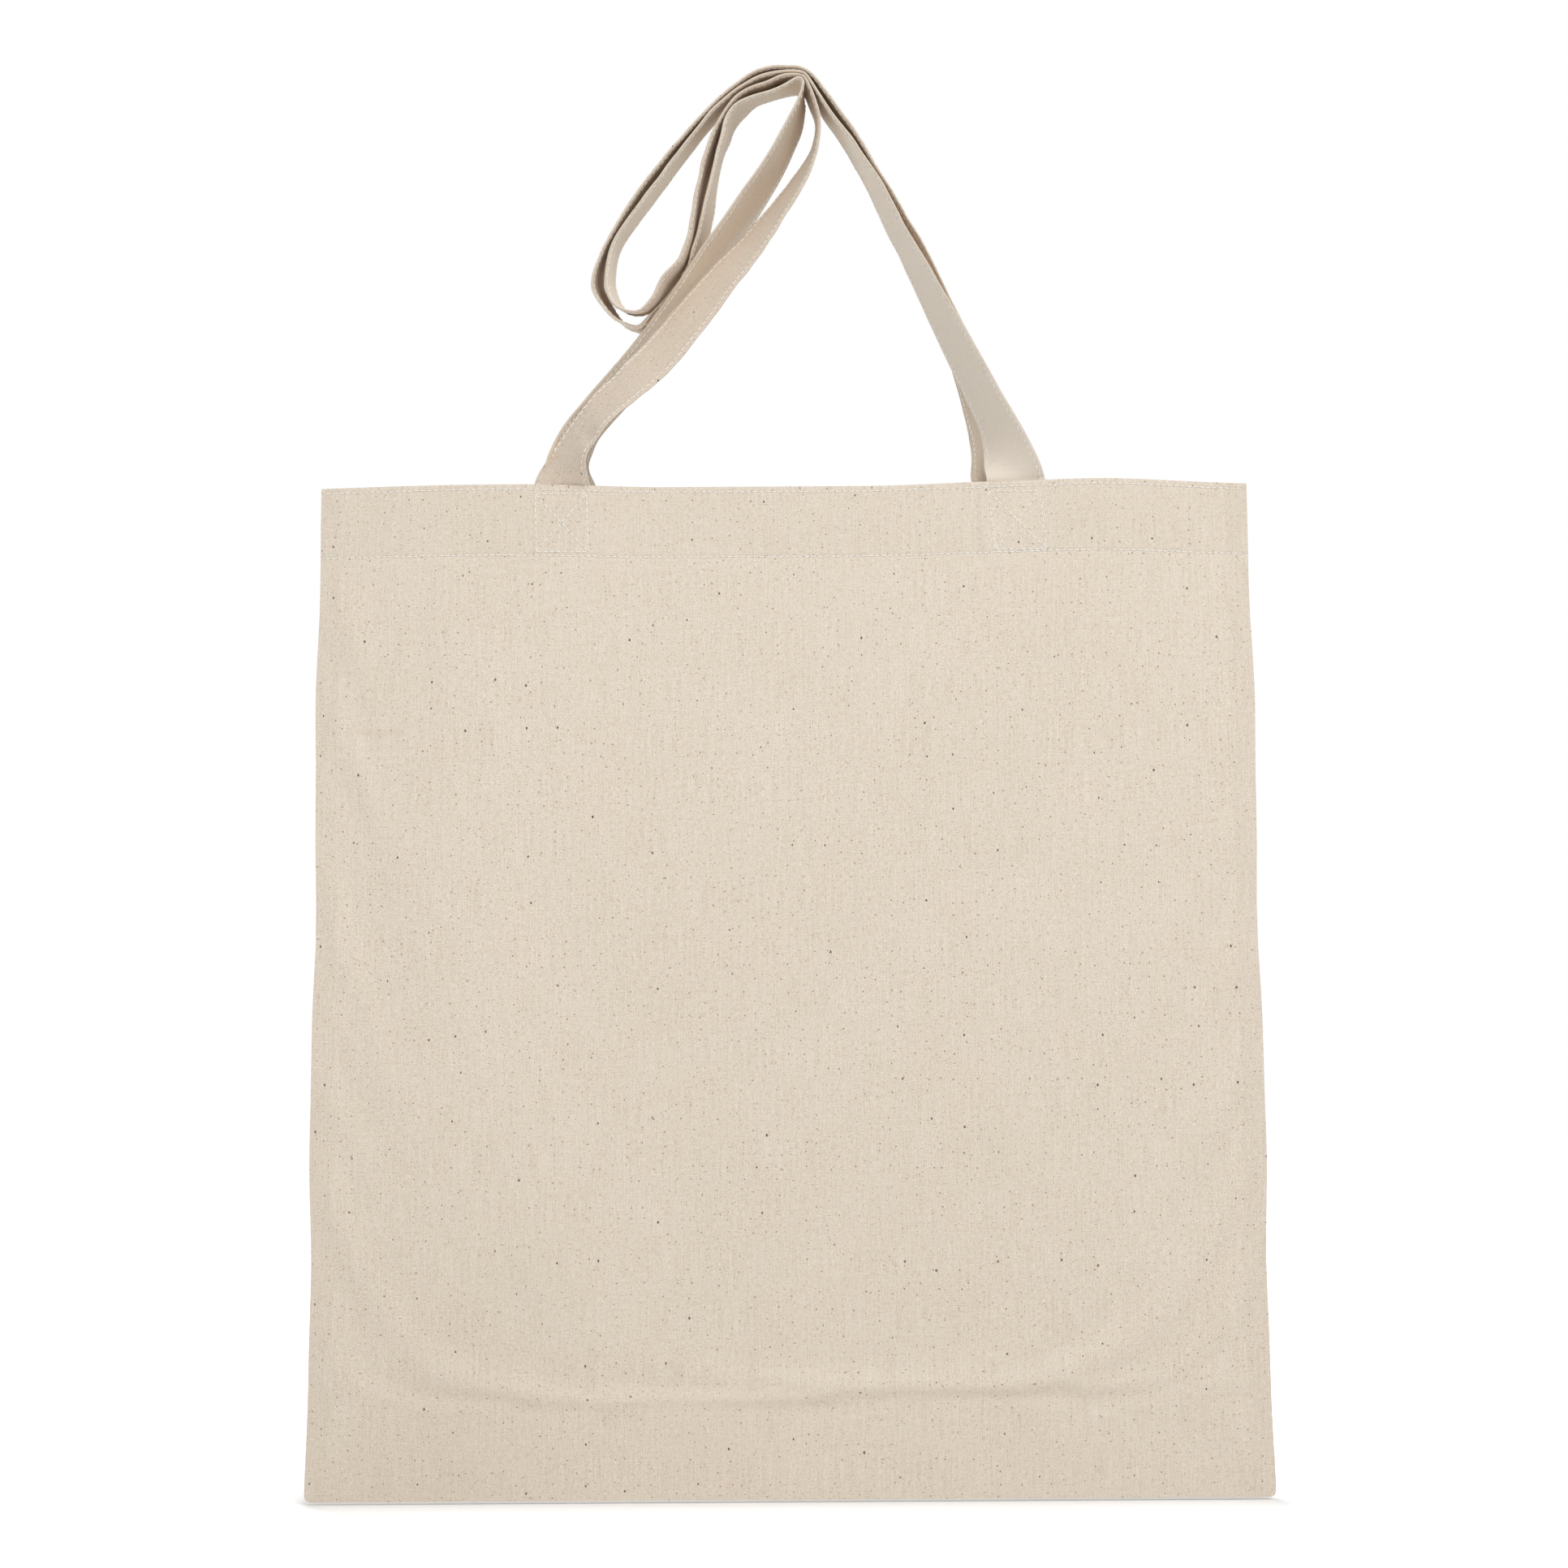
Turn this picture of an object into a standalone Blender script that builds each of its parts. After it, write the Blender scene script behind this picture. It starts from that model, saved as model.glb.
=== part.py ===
"""A flat cotton canvas tote bag that hangs by its two long handles, each wound twice over one thin peg.

Metres, +Z up, the front of the bag towards -Y. The origin is the peg, inside the handles' innermost turn.
The body is one cloth, folded at the bottom and seamed at both sides, with a turned-in hem round its mouth.
"""

import math

import bmesh
import bpy
from mathutils import Matrix, Vector

# The body
BODY_WIDTH = 0.381
BODY_HEIGHT = 0.406
BODY_CENTRE_X = -0.0074  # the peg stands a little to the right of the bag's middle
MOUTH_DROP = 0.170  # from the peg down to the mouth's edge
CLOTH = 0.0008  # the canvas with its nap
HALF_DEPTH = 0.0074  # half of the room inside, at the flat middle of each side
MOUTH_HALF_DEPTH = 0.0070
EDGE_HALF_DEPTH = 0.0008  # at the side seams and the bottom fold
SHOULDER = 0.060  # how far the sides take to close to a seam
HEM_SLOPE = 0.012  # the run over which the side closes a little below the hem

# The hem, the seams and the fold
HEM_WIDTH = 0.030
HEM_THICKNESS = 0.0010
HEM_END_GAP = 0.012  # the hem stops at the side seam's allowance
SEAM_WIDTH = 0.0085
SEAM_THICKNESS = 0.0010
FOLD_HEIGHT = 0.0027
EASE = 0.0003  # the clearance that pieces in contact keep

# The handles
STRAP_WIDTH = 0.024
STRAP_THICKNESS = 0.0011
ROUTE_STRAP_WIDTH = 0.024  # the strap width that the routes' leans are chosen for
FRONT_ENDS_X = (-0.0983, 0.0878)
BACK_ENDS_X = (-0.0968, 0.0829)
END_LENGTH = 0.0275  # how far an end reaches down inside the hem
HINGE_RISE = 0.0120  # the straps bend this far above the mouth's edge

# The stitching
THREAD = 0.0004
HEM_STITCH_DROP = 0.0290
EDGE_STITCH_DROP = 0.0018
BOX_WIDTH = 0.0210
BOX_TOP_DROP = 0.0034
BOX_BOTTOM_DROP = 0.0274

MOUTH_Z = -MOUTH_DROP
BOTTOM_Z = MOUTH_Z - BODY_HEIGHT
PANEL_BOTTOM_Z = BOTTOM_Z + FOLD_HEIGHT + EASE
PLATEAU_TOP_Z = MOUTH_Z - HEM_WIDTH - EASE
SEAM_BOTTOM_Z = PANEL_BOTTOM_Z + 0.004
STRAP_Y = MOUTH_HALF_DEPTH - EASE - HEM_THICKNESS - EASE - STRAP_THICKNESS / 2
HINGE_Z = MOUTH_Z + HINGE_RISE
FRONT, BACK = -1, 1

CURVE_STEPS = 4  # sections between two stations of a handle
SHOULDER_STEPS = 5

# A handle's stations in millimetres from the peg: x, depth, z, and the lean of its width, which is the
# share of the width that lies across, along x and along z; the rest of the width lies along the depth.
FRONT_ROUTE = (
    (-86.5, -10.0, -141.0, -0.52, 0.50),
    (-74.5, -9.0, -129.0, -0.47, 0.62),
    (-60.4, -6.5, -115.3, -0.48, 0.64),
    (-44.8, -5.0, -96.6, -0.46, 0.60),
    (-31.4, -4.0, -81.0, -0.40, 0.57),
    (-20.2, -3.0, -67.7, -0.32, 0.52),
    (-9.2, -2.0, -52.5, -0.24, 0.46),
    (0.5, -1.0, -37.7, -0.16, 0.42),
    (5.9, 0.0, -26.5, -0.09, 0.32),
    (7.8, 0.0, -14.8, -0.04, 0.22),
    (5.6, 0.0, -5.6, 0.0, 0.0),
    (3.7, 0.0, -0.6, 0.0, 0.0),
    (2.2, 0.0, 2.2, 0.0, 0.0),
    (0.0, 0.0, 3.4, 0.0, 0.0),
    (-3.6, 0.0, 3.7, 0.0, 0.0),
    (-8.5, 0.0, 3.1, 0.0, 0.0),
    (-14.1, 0.0, 0.4, 0.0, 0.0),
    (-21.0, 0.0, -2.0, 0.0, 0.0),
    (-26.8, 0.0, -6.9, 0.0, 0.0),
    (-31.7, 0.0, -14.6, 0.0, 0.0),
    (-37.0, 0.0, -27.4, 0.0, 0.0),
    (-40.4, 0.0, -39.4, 0.0, 0.0),
    (-42.8, 0.0, -52.5, 0.0, 0.0),
    (-44.7, 0.0, -63.7, 0.0, 0.0),
    (-48.5, 0.0, -74.3, 0.0, 0.0),
    (-55.2, 0.0, -83.0, 0.0, 0.0),
    (-60.4, 0.0, -91.0, 0.0, 0.0),
    (-65.6, 0.0, -95.0, 0.0, 0.0),
    (-71.4, 0.0, -94.9, 0.0, 0.0),
    (-76.0, 0.0, -91.6, 0.0, 0.0),
    (-78.7, 0.0, -84.8, 0.0, 0.0),
    (-78.9, 0.0, -79.0, 0.0, 0.0),
    (-77.4, 0.0, -69.7, 0.0, 0.0),
    (-73.8, 0.0, -62.0, 0.0, 0.0),
    (-66.8, 0.0, -52.2, 0.0, 0.0),
    (-54.0, 0.0, -34.5, 0.0, 0.0),
    (-42.8, 0.0, -19.5, 0.0, 0.0),
    (-35.2, 0.0, -10.2, 0.0, 0.0),
    (-27.2, 0.0, -3.0, 0.0, 0.0),
    (-20.0, 0.0, 2.0, 0.0, 0.0),
    (-14.4, 0.0, 4.1, 0.0, 0.0),
    (-8.0, 0.0, 5.2, 0.0, 0.0),
    (-0.4, 0.0, 5.0, 0.0, 0.0),
    (3.2, 0.0, 3.2, 0.0, 0.0),
    (7.6, 0.0, -3.8, 0.0, 0.0),
    (13.2, 0.0, -12.8, -0.11, 0.23),
    (19.4, 0.0, -21.2, -0.13, 0.22),
    (24.3, 0.0, -29.5, -0.16, 0.21),
    (31.3, -0.5, -41.7, -0.22, 0.20),
    (39.2, -1.5, -59.3, -0.27, 0.21),
    (46.9, -2.5, -74.5, -0.31, 0.17),
    (56.8, -3.5, -95.1, -0.40, 0.12),
    (65.7, -4.5, -113.7, -0.46, 0.07),
    (74.7, -5.5, -132.5, -0.54, 0.09),
    (82.6, -5.5, -149.0, -0.68, 0.10),
)
BACK_ROUTE = (
    (-89.5, 13.0, -144.0, 0.80, -0.10),
    (-83.0, 15.0, -134.5, 0.70, -0.14),
    (-74.8, 15.0, -124.5, 0.62, -0.15),
    (-65.5, 13.0, -114.4, 0.53, -0.13),
    (-58.2, 12.0, -104.6, 0.50, -0.15),
    (-46.2, 8.0, -86.2, 0.46, -0.14),
    (-39.8, 6.5, -76.4, 0.44, -0.12),
    (-32.4, 4.5, -65.1, 0.41, -0.04),
    (-24.4, 3.0, -53.2, 0.39, 0.01),
    (-17.0, 1.5, -42.2, 0.36, 0.03),
    (-9.3, 0.0, -30.2, 0.33, 0.10),
    (-2.7, 0.0, -16.5, 0.26, 0.14),
    (0.9, 0.0, -6.2, 0.0, 0.0),
    (1.5, 0.0, -1.2, 0.0, 0.0),
    (1.2, 0.0, 1.2, 0.0, 0.0),
    (-0.8, 0.0, 1.9, 0.0, 0.0),
    (-5.2, 0.0, 0.6, 0.0, 0.0),
    (-12.8, 0.0, -2.4, 0.0, 0.0),
    (-19.4, 0.0, -4.7, 0.0, 0.0),
    (-25.2, 0.0, -8.6, 0.0, 0.0),
    (-28.8, 0.0, -14.0, 0.0, 0.0),
    (-31.0, 0.5, -20.5, 0.0, 0.0),
    (-33.2, 1.0, -26.8, 0.0, 0.0),
    (-35.2, 2.0, -35.0, 0.09, 0.2),
    (-37.8, 3.0, -47.9, 0.15, 0.22),
    (-40.2, 5.5, -59.0, 0.17, 0.21),
    (-44.2, 9.0, -74.6, 0.22, 0.12),
    (-48.6, 12.0, -84.2, 0.34, 0.02),
    (-58.4, 12.5, -95.4, 0.34, 0.0),
    (-65.8, 8.0, -99.9, 0.1, 0.1),
    (-71.9, 3.5, -99.8, 0.0, 0.0),
    (-77.4, 1.0, -96.0, 0.0, 0.0),
    (-82.5, 0.0, -88.6, 0.0, 0.0),
    (-84.2, 0.0, -82.0, 0.0, 0.0),
    (-81.8, 0.0, -72.3, 0.0, 0.0),
    (-74.9, 0.0, -59.1, 0.0, 0.0),
    (-65.5, 0.0, -44.3, 0.0, 0.0),
    (-54.6, 0.0, -30.0, 0.0, 0.0),
    (-43.7, 0.0, -16.7, 0.0, 0.0),
    (-31.6, 0.0, -4.2, 0.0, 0.0),
    (-20.0, 0.0, 4.6, 0.0, 0.0),
    (-12.6, 0.0, 7.3, 0.0, 0.0),
    (-5.1, 0.0, 7.3, 0.0, 0.0),
    (0.8, 0.0, 6.7, 0.0, 0.0),
    (5.3, 0.0, 4.2, 0.0, 0.0),
    (9.6, 0.0, -1.4, 0.0, 0.0),
    (16.8, 0.0, -12.2, -0.11, 0.21),
    (24.6, 0.0, -24.6, -0.14, 0.21),
    (29.2, 1.0, -33.2, -0.15, 0.20),
    (35.4, 2.0, -44.0, -0.19, 0.19),
    (43.0, 3.5, -58.4, -0.24, 0.17),
    (48.8, 5.0, -68.9, -0.26, 0.15),
    (57.0, 7.5, -86.7, -0.30, 0.13),
    (63.2, 9.5, -100.5, -0.36, 0.13),
    (70.0, 10.5, -118.5, -0.46, 0.11),
    (76.6, 9.0, -137.0, -0.66, 0.12),
    (80.8, 6.6, -152.0, -0.84, 0.09),
)

CANVAS_COLOUR = (0.76, 0.67, 0.54, 1.0)
THREAD_COLOUR = (0.86, 0.80, 0.68, 1.0)


def clear_scene():
    for item in list(bpy.data.objects):
        bpy.data.objects.remove(item, do_unlink=True)


def make_material(name, colour, roughness):
    material = bpy.data.materials.new(name)
    material.use_nodes = True
    shader = material.node_tree.nodes["Principled BSDF"]
    shader.inputs["Base Color"].default_value = colour
    shader.inputs["Roughness"].default_value = roughness
    shader.inputs["Metallic"].default_value = 0.0
    return material


def add_hinge(name, place, parent=None):
    """An empty on a joint's axis. What turns with the joint is parented to it."""
    hinge = bpy.data.objects.new(name, None)
    hinge.empty_display_size = 0.02
    bpy.context.collection.objects.link(hinge)
    hinge.parent = parent
    hinge.location = place - (parent.location if parent else Vector((0, 0, 0)))
    return hinge


def hinge_place(hinge):
    place = Vector((0, 0, 0))
    while hinge:
        place += hinge.location
        hinge = hinge.parent
    return place


def add_piece(name, shape, look, hinge=None):
    """Makes an object of a bmesh in world coordinates, with its origin on its hinge or at the peg."""
    bmesh.ops.recalc_face_normals(shape, faces=shape.faces)
    mesh = bpy.data.meshes.new(name)
    shape.to_mesh(mesh)
    shape.free()
    mesh.transform(Matrix.Translation(-hinge_place(hinge)))
    colour, roughness = look
    mesh.materials.append(make_material(name, colour, roughness))
    piece = bpy.data.objects.new(name, mesh)
    bpy.context.collection.objects.link(piece)
    piece.parent = hinge
    return piece


def ease_out(share):
    return math.sin(min(max(share, 0.0), 1.0) * math.pi / 2)


def half_depth(x, z):
    """Half of the room inside the bag at a place on its side: flat in the middle, closing to the seams."""
    from_side = BODY_WIDTH / 2 - abs(x - BODY_CENTRE_X)
    closing = min(ease_out(from_side / SHOULDER), ease_out((z - PANEL_BOTTOM_Z) / SHOULDER))
    hemward = min(max((z - PLATEAU_TOP_Z + HEM_SLOPE) / HEM_SLOPE, 0.0), 1.0)
    depth = HALF_DEPTH + (MOUTH_HALF_DEPTH - HALF_DEPTH) * hemward
    return EDGE_HALF_DEPTH + (depth - EDGE_HALF_DEPTH) * closing


def side_columns(end_gap):
    """Where a side's columns stand: close together on the shoulders, none across the flat middle."""
    reach = BODY_WIDTH / 2 - end_gap
    steps = [SHOULDER * i / SHOULDER_STEPS for i in range(SHOULDER_STEPS + 1)]
    right = sorted(BODY_WIDTH / 2 - s for s in steps if BODY_WIDTH / 2 - s < reach)
    right.append(reach)
    return [BODY_CENTRE_X + x for x in [-x for x in reversed(right)] + right]


def cloth_sheet(side, columns, rows, inset, thickness):
    """A layer of the front (-1) or the back (+1). inset is from the cloth's inner face into the bag."""
    shape = bmesh.new()
    grid = [
        [shape.verts.new((x, side * (half_depth(x, z) - inset), z)) for x in columns] for z in rows
    ]
    faces = []
    for low, high in zip(grid, grid[1:]):
        for i in range(len(columns) - 1):
            faces.append(shape.faces.new((low[i], low[i + 1], high[i + 1], high[i])))
    raised = bmesh.ops.extrude_face_region(shape, geom=faces)["geom"]
    moved = [v for v in raised if isinstance(v, bmesh.types.BMVert)]
    bmesh.ops.translate(shape, verts=moved, vec=(0, side * thickness, 0))
    return shape


def block(low, high):
    shape = bmesh.new()
    middle = (Vector(low) + Vector(high)) / 2
    size = Vector(high) - Vector(low)
    matrix = Matrix.Translation(middle) @ Matrix.Diagonal(size).to_4x4()
    bmesh.ops.create_cube(shape, size=1.0, matrix=matrix)
    return shape


def thread_line(side, columns, z):
    """A row of stitching across a side: a thread that follows the cloth's outer face."""
    shape = bmesh.new()
    rings = []
    for x in columns:
        near = half_depth(x, z) + CLOTH + EASE
        corners = ((near, -THREAD), (near + THREAD, -THREAD), (near + THREAD, 0), (near, 0))
        rings.append([shape.verts.new((x, side * y, z + dz + THREAD / 2)) for y, dz in corners])
    for left, right in zip(rings, rings[1:]):
        for i in range(4):
            shape.faces.new((left[i], left[i - 1], right[i - 1], right[i]))
    shape.faces.new(rings[0])
    shape.faces.new(rings[-1])
    return shape


def box_stitching(side, centre_x):
    """The square with a cross in it that holds a handle's end: one flat lattice of thread."""
    left, right = centre_x - BOX_WIDTH / 2, centre_x + BOX_WIDTH / 2
    top, bottom = MOUTH_Z - BOX_TOP_DROP, MOUTH_Z - BOX_BOTTOM_DROP
    outer = [(left, bottom), (right, bottom), (right, top), (left, top)]
    t = THREAD
    middle = ((left + right) / 2, (bottom + top) / 2)
    rise = (top - bottom) / (right - left)
    near_x, near_z = t * (1 + 1 / rise), t * (1 + rise)
    # Each window is the triangle that the frame and the two diagonals leave.
    windows = []
    for turn in range(4):
        (ax, az), (bx, bz) = outer[turn], outer[(turn + 1) % 4]
        cx, cz = middle
        along_x = turn % 2 == 0
        inward = t if (turn in (0, 3)) else -t
        if along_x:
            windows.append(
                [
                    (ax + math.copysign(near_x, bx - ax), az + inward),
                    (bx - math.copysign(near_x, bx - ax), bz + inward),
                    (cx, cz - math.copysign(t * rise, inward)),
                ]
            )
        else:
            windows.append(
                [
                    (ax + inward, az + math.copysign(near_z, bz - az)),
                    (bx + inward, bz - math.copysign(near_z, bz - az)),
                    (cx - math.copysign(t, inward), cz),
                ]
            )
    y = side * (MOUTH_HALF_DEPTH + CLOTH + EASE)
    shape = bmesh.new()
    rim = [shape.verts.new((x, y, z)) for x, z in outer]
    cuts = [[shape.verts.new((x, y, z)) for x, z in window] for window in windows]
    # A quad along each side of the frame, and a bar along each half of a diagonal
    for i in range(4):
        a, b = rim[i], rim[(i + 1) % 4]
        shape.faces.new((a, b, cuts[i][1], cuts[i][0]))
        before = cuts[i - 1]
        shape.faces.new((a, cuts[i][0], cuts[i][2], before[2], before[1]))
    shape.faces.new([cut[2] for cut in cuts])
    raised = bmesh.ops.extrude_face_region(shape, geom=list(shape.faces))["geom"]
    moved = [v for v in raised if isinstance(v, bmesh.types.BMVert)]
    bmesh.ops.translate(shape, verts=moved, vec=(0, side * THREAD, 0))
    return shape


def catmull_rom(before, start, end, after, share):
    """A value between start and end, on the smooth curve through all four."""
    square, cube = share * share, share * share * share
    return 0.5 * (
        2 * start
        + (end - before) * share
        + (2 * before - 5 * start + 4 * end - after) * square
        + (3 * start - before - 3 * end + after) * cube
    )


def depth_share(lean_x, lean_z):
    """How much of a strap's width lies along the depth."""
    return math.sqrt(max(1 - lean_x**2 - lean_z**2, 0.0))


def strap_stations(route, ends_x, side):
    """The route with its two ends set over the sewn ends, where the strap faces the front.

    A wider strap grows along the depth only, away from the other handle, so that the passes stay clear.
    """
    rise = (HINGE_Z + EASE + STRAP_THICKNESS / 2) * 1000
    wider = STRAP_WIDTH / ROUTE_STRAP_WIDTH
    passes = []
    for x, y, z, lean_x, lean_z in route:
        chosen = depth_share(lean_x, lean_z) * ROUTE_STRAP_WIDTH
        grown = depth_share(lean_x / wider, lean_z / wider) * STRAP_WIDTH
        passes.append((x, y + side * (grown - chosen) * 500, z, lean_x / wider, lean_z / wider))
    first_lean = math.copysign(0.96, route[0][3])
    depth = side * STRAP_Y * 1000
    start = (ends_x[0] * 1000, depth, rise, first_lean, 0.0)
    stop = (ends_x[1] * 1000, depth, rise, -0.96, 0.0)
    return [Vector(point) for point in (start, *passes, stop)]


def strap(route, ends_x, side):
    """A free handle: a flat ribbon along its route, to be given its thickness by Solidify."""
    stations = strap_stations(route, ends_x, side)
    first, last = 2 * stations[0] - stations[1], 2 * stations[-1] - stations[-2]
    padded = [first, *stations, last]
    samples = []
    for i in range(1, len(stations)):
        for step in range(CURVE_STEPS):
            samples.append(catmull_rom(*padded[i - 1 : i + 3], step / CURVE_STEPS))
    samples.append(stations[-1])
    shape = bmesh.new()
    rungs = []
    for x, y, z, lean_x, lean_z in samples:
        across = Vector((lean_x, depth_share(lean_x, lean_z), lean_z)).normalized()
        middle = Vector((x, y, z)) / 1000
        rungs.append([shape.verts.new(middle + across * STRAP_WIDTH * s) for s in (-0.5, 0.0, 0.5)])
    for low, high in zip(rungs, rungs[1:]):
        for i in range(2):
            shape.faces.new((low[i], low[i + 1], high[i + 1], high[i]))
    return shape


def thicken(piece, thickness):
    solid = piece.modifiers.new("Thickness", "SOLIDIFY")
    solid.thickness = thickness
    solid.offset = 0.0
    solid.use_even_offset = True


def build_side(name, side, ends_x, hinge):
    """The front or the back of the body: its cloth, its hem, two sewn handle ends and their stitching."""
    canvas, thread = (CANVAS_COLOUR, 0.95), (THREAD_COLOUR, 0.7)
    columns = side_columns(0.0)
    shoulder_rows = [PANEL_BOTTOM_Z + SHOULDER * i / SHOULDER_STEPS for i in range(SHOULDER_STEPS + 1)]
    rows = [*shoulder_rows, PLATEAU_TOP_Z - HEM_SLOPE, PLATEAU_TOP_Z, MOUTH_Z]
    add_piece(f"{name}_panel", cloth_sheet(side, columns, rows, 0.0, CLOTH), canvas, hinge)

    hem_columns = side_columns(HEM_END_GAP)
    hem_rows = [MOUTH_Z - HEM_WIDTH, MOUTH_Z]
    hem = cloth_sheet(side, hem_columns, hem_rows, EASE + HEM_THICKNESS, HEM_THICKNESS)
    add_piece(f"{name}_hem", hem, canvas, hinge)

    for end, centre_x in zip(("left", "right"), ends_x):
        near = (STRAP_Y - STRAP_THICKNESS / 2) * side
        far = (STRAP_Y + STRAP_THICKNESS / 2) * side
        low = (centre_x - STRAP_WIDTH / 2, min(near, far), MOUTH_Z - END_LENGTH)
        high = (centre_x + STRAP_WIDTH / 2, max(near, far), HINGE_Z - EASE)
        add_piece(f"{name}_handle_{end}_end", block(low, high), canvas, hinge)
        stitches = box_stitching(side, centre_x)
        add_piece(f"{name}_{end}_box_stitching", stitches, thread, hinge)

    stitch_columns = side_columns(HEM_END_GAP)
    for row, drop in (("hem", HEM_STITCH_DROP), ("edge", EDGE_STITCH_DROP)):
        line = thread_line(side, stitch_columns, MOUTH_Z - drop)
        add_piece(f"{name}_{row}_stitching", line, thread, hinge)


def build_seams():
    """The allowances of the two side seams, inside the bag, their overlock threads and the bottom fold."""
    canvas, thread = (CANVAS_COLOUR, 0.95), (THREAD_COLOUR, 0.7)
    for name, direction in (("left", -1), ("right", 1)):
        outer = BODY_CENTRE_X + direction * BODY_WIDTH / 2
        inner = outer - direction * SEAM_WIDTH
        low = (min(outer, inner), -SEAM_THICKNESS / 2, SEAM_BOTTOM_Z)
        high = (max(outer, inner), SEAM_THICKNESS / 2, MOUTH_Z)
        add_piece(f"{name}_seam", block(low, high), canvas)
        edge = inner - direction * EASE
        low = (min(edge, edge - direction * THREAD), -THREAD / 2, SEAM_BOTTOM_Z)
        high = (max(edge, edge - direction * THREAD), THREAD / 2, MOUTH_Z - EASE)
        add_piece(f"{name}_seam_stitching", block(low, high), thread)
    half_width, half_fold = BODY_WIDTH / 2, EDGE_HALF_DEPTH + CLOTH
    low = (BODY_CENTRE_X - half_width, -half_fold, BOTTOM_Z)
    high = (BODY_CENTRE_X + half_width, half_fold, BOTTOM_Z + FOLD_HEIGHT)
    fold = block(low, high)
    under = [e for e in fold.edges if all(v.co.z < BOTTOM_Z + EASE for v in e.verts)]
    along = [e for e in under if abs(e.verts[0].co.x - e.verts[1].co.x) > half_width]
    bmesh.ops.bevel(
        fold, geom=along, offset=half_fold * 0.9, segments=4, profile=0.5, affect="EDGES", material=-1
    )
    add_piece("bottom_fold", fold, canvas)


def build_tote():
    clear_scene()
    front_hinge = add_hinge(
        "front_side_hinge", Vector((0, -EDGE_HALF_DEPTH - CLOTH / 2, PANEL_BOTTOM_Z))
    )
    front_strap_hinge = add_hinge("front_handle_hinge", Vector((0, -STRAP_Y, HINGE_Z)), front_hinge)
    back_strap_hinge = add_hinge("back_handle_hinge", Vector((0, STRAP_Y, HINGE_Z)))
    build_side("front", FRONT, FRONT_ENDS_X, front_hinge)
    build_side("back", BACK, BACK_ENDS_X, None)
    build_seams()
    canvas = (CANVAS_COLOUR, 0.95)
    front = add_piece("front_handle", strap(FRONT_ROUTE, FRONT_ENDS_X, FRONT), canvas, front_strap_hinge)
    back = add_piece("back_handle", strap(BACK_ROUTE, BACK_ENDS_X, BACK), canvas, back_strap_hinge)
    thicken(front, STRAP_THICKNESS)
    thicken(back, STRAP_THICKNESS)


build_tote()
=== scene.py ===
"""A natural canvas tote bag that hangs by its two long handles, wound twice over one thin peg."""

import math
import random

import bmesh
import bpy
from mathutils import Matrix, Vector, noise
from mathutils.bvhtree import BVHTree
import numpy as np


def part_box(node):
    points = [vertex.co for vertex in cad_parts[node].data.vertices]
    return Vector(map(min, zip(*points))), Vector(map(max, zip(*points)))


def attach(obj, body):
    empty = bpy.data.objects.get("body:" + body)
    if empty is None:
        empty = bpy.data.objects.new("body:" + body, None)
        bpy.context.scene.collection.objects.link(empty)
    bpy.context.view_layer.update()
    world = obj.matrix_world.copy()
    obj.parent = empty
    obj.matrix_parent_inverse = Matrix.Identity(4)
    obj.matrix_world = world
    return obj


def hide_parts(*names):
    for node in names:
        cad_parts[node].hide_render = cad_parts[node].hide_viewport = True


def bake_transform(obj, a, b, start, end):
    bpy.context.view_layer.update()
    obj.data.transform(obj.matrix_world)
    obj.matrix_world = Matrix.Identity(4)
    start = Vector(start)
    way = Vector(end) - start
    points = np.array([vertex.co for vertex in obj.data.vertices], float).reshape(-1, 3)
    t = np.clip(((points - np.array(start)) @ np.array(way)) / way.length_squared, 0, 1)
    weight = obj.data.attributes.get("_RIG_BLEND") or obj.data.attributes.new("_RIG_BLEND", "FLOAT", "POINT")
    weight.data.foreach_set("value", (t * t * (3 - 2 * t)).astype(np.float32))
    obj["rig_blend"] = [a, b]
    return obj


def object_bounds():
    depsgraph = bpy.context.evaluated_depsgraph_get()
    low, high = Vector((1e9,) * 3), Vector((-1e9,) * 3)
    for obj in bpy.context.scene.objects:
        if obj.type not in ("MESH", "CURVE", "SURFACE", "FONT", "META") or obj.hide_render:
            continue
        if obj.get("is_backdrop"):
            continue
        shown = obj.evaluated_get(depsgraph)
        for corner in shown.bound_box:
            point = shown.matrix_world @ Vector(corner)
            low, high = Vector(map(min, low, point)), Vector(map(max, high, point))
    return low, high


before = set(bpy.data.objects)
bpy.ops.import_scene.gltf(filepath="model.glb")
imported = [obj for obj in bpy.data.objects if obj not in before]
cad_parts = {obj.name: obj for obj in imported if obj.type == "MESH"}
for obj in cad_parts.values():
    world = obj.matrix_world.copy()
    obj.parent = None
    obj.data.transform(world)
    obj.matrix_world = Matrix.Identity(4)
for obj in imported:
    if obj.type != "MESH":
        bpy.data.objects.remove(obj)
cad_low, cad_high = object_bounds()

# --------------------------------------------------------------------------------------------------
# The camera stands about a metre in front of the hanging bag, a little under its middle, and looks
# slightly up at it.
CAMERA_PLACE = (-0.0081, -1.096, -0.423)
CAMERA_PITCH = 96.8
CAMERA_ROLL = -0.35
camera_data = bpy.data.cameras.new("camera")
camera_data.lens = 62.4
camera_data.sensor_width = 36.0
camera = bpy.data.objects.new("camera", camera_data)
bpy.context.scene.collection.objects.link(camera)
camera.matrix_world = (
    Matrix.Translation(CAMERA_PLACE)
    @ Matrix.Rotation(math.radians(CAMERA_PITCH), 4, "X")
    @ Matrix.Rotation(math.radians(CAMERA_ROLL), 4, "Z")
)
bpy.context.scene.camera = camera

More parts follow.
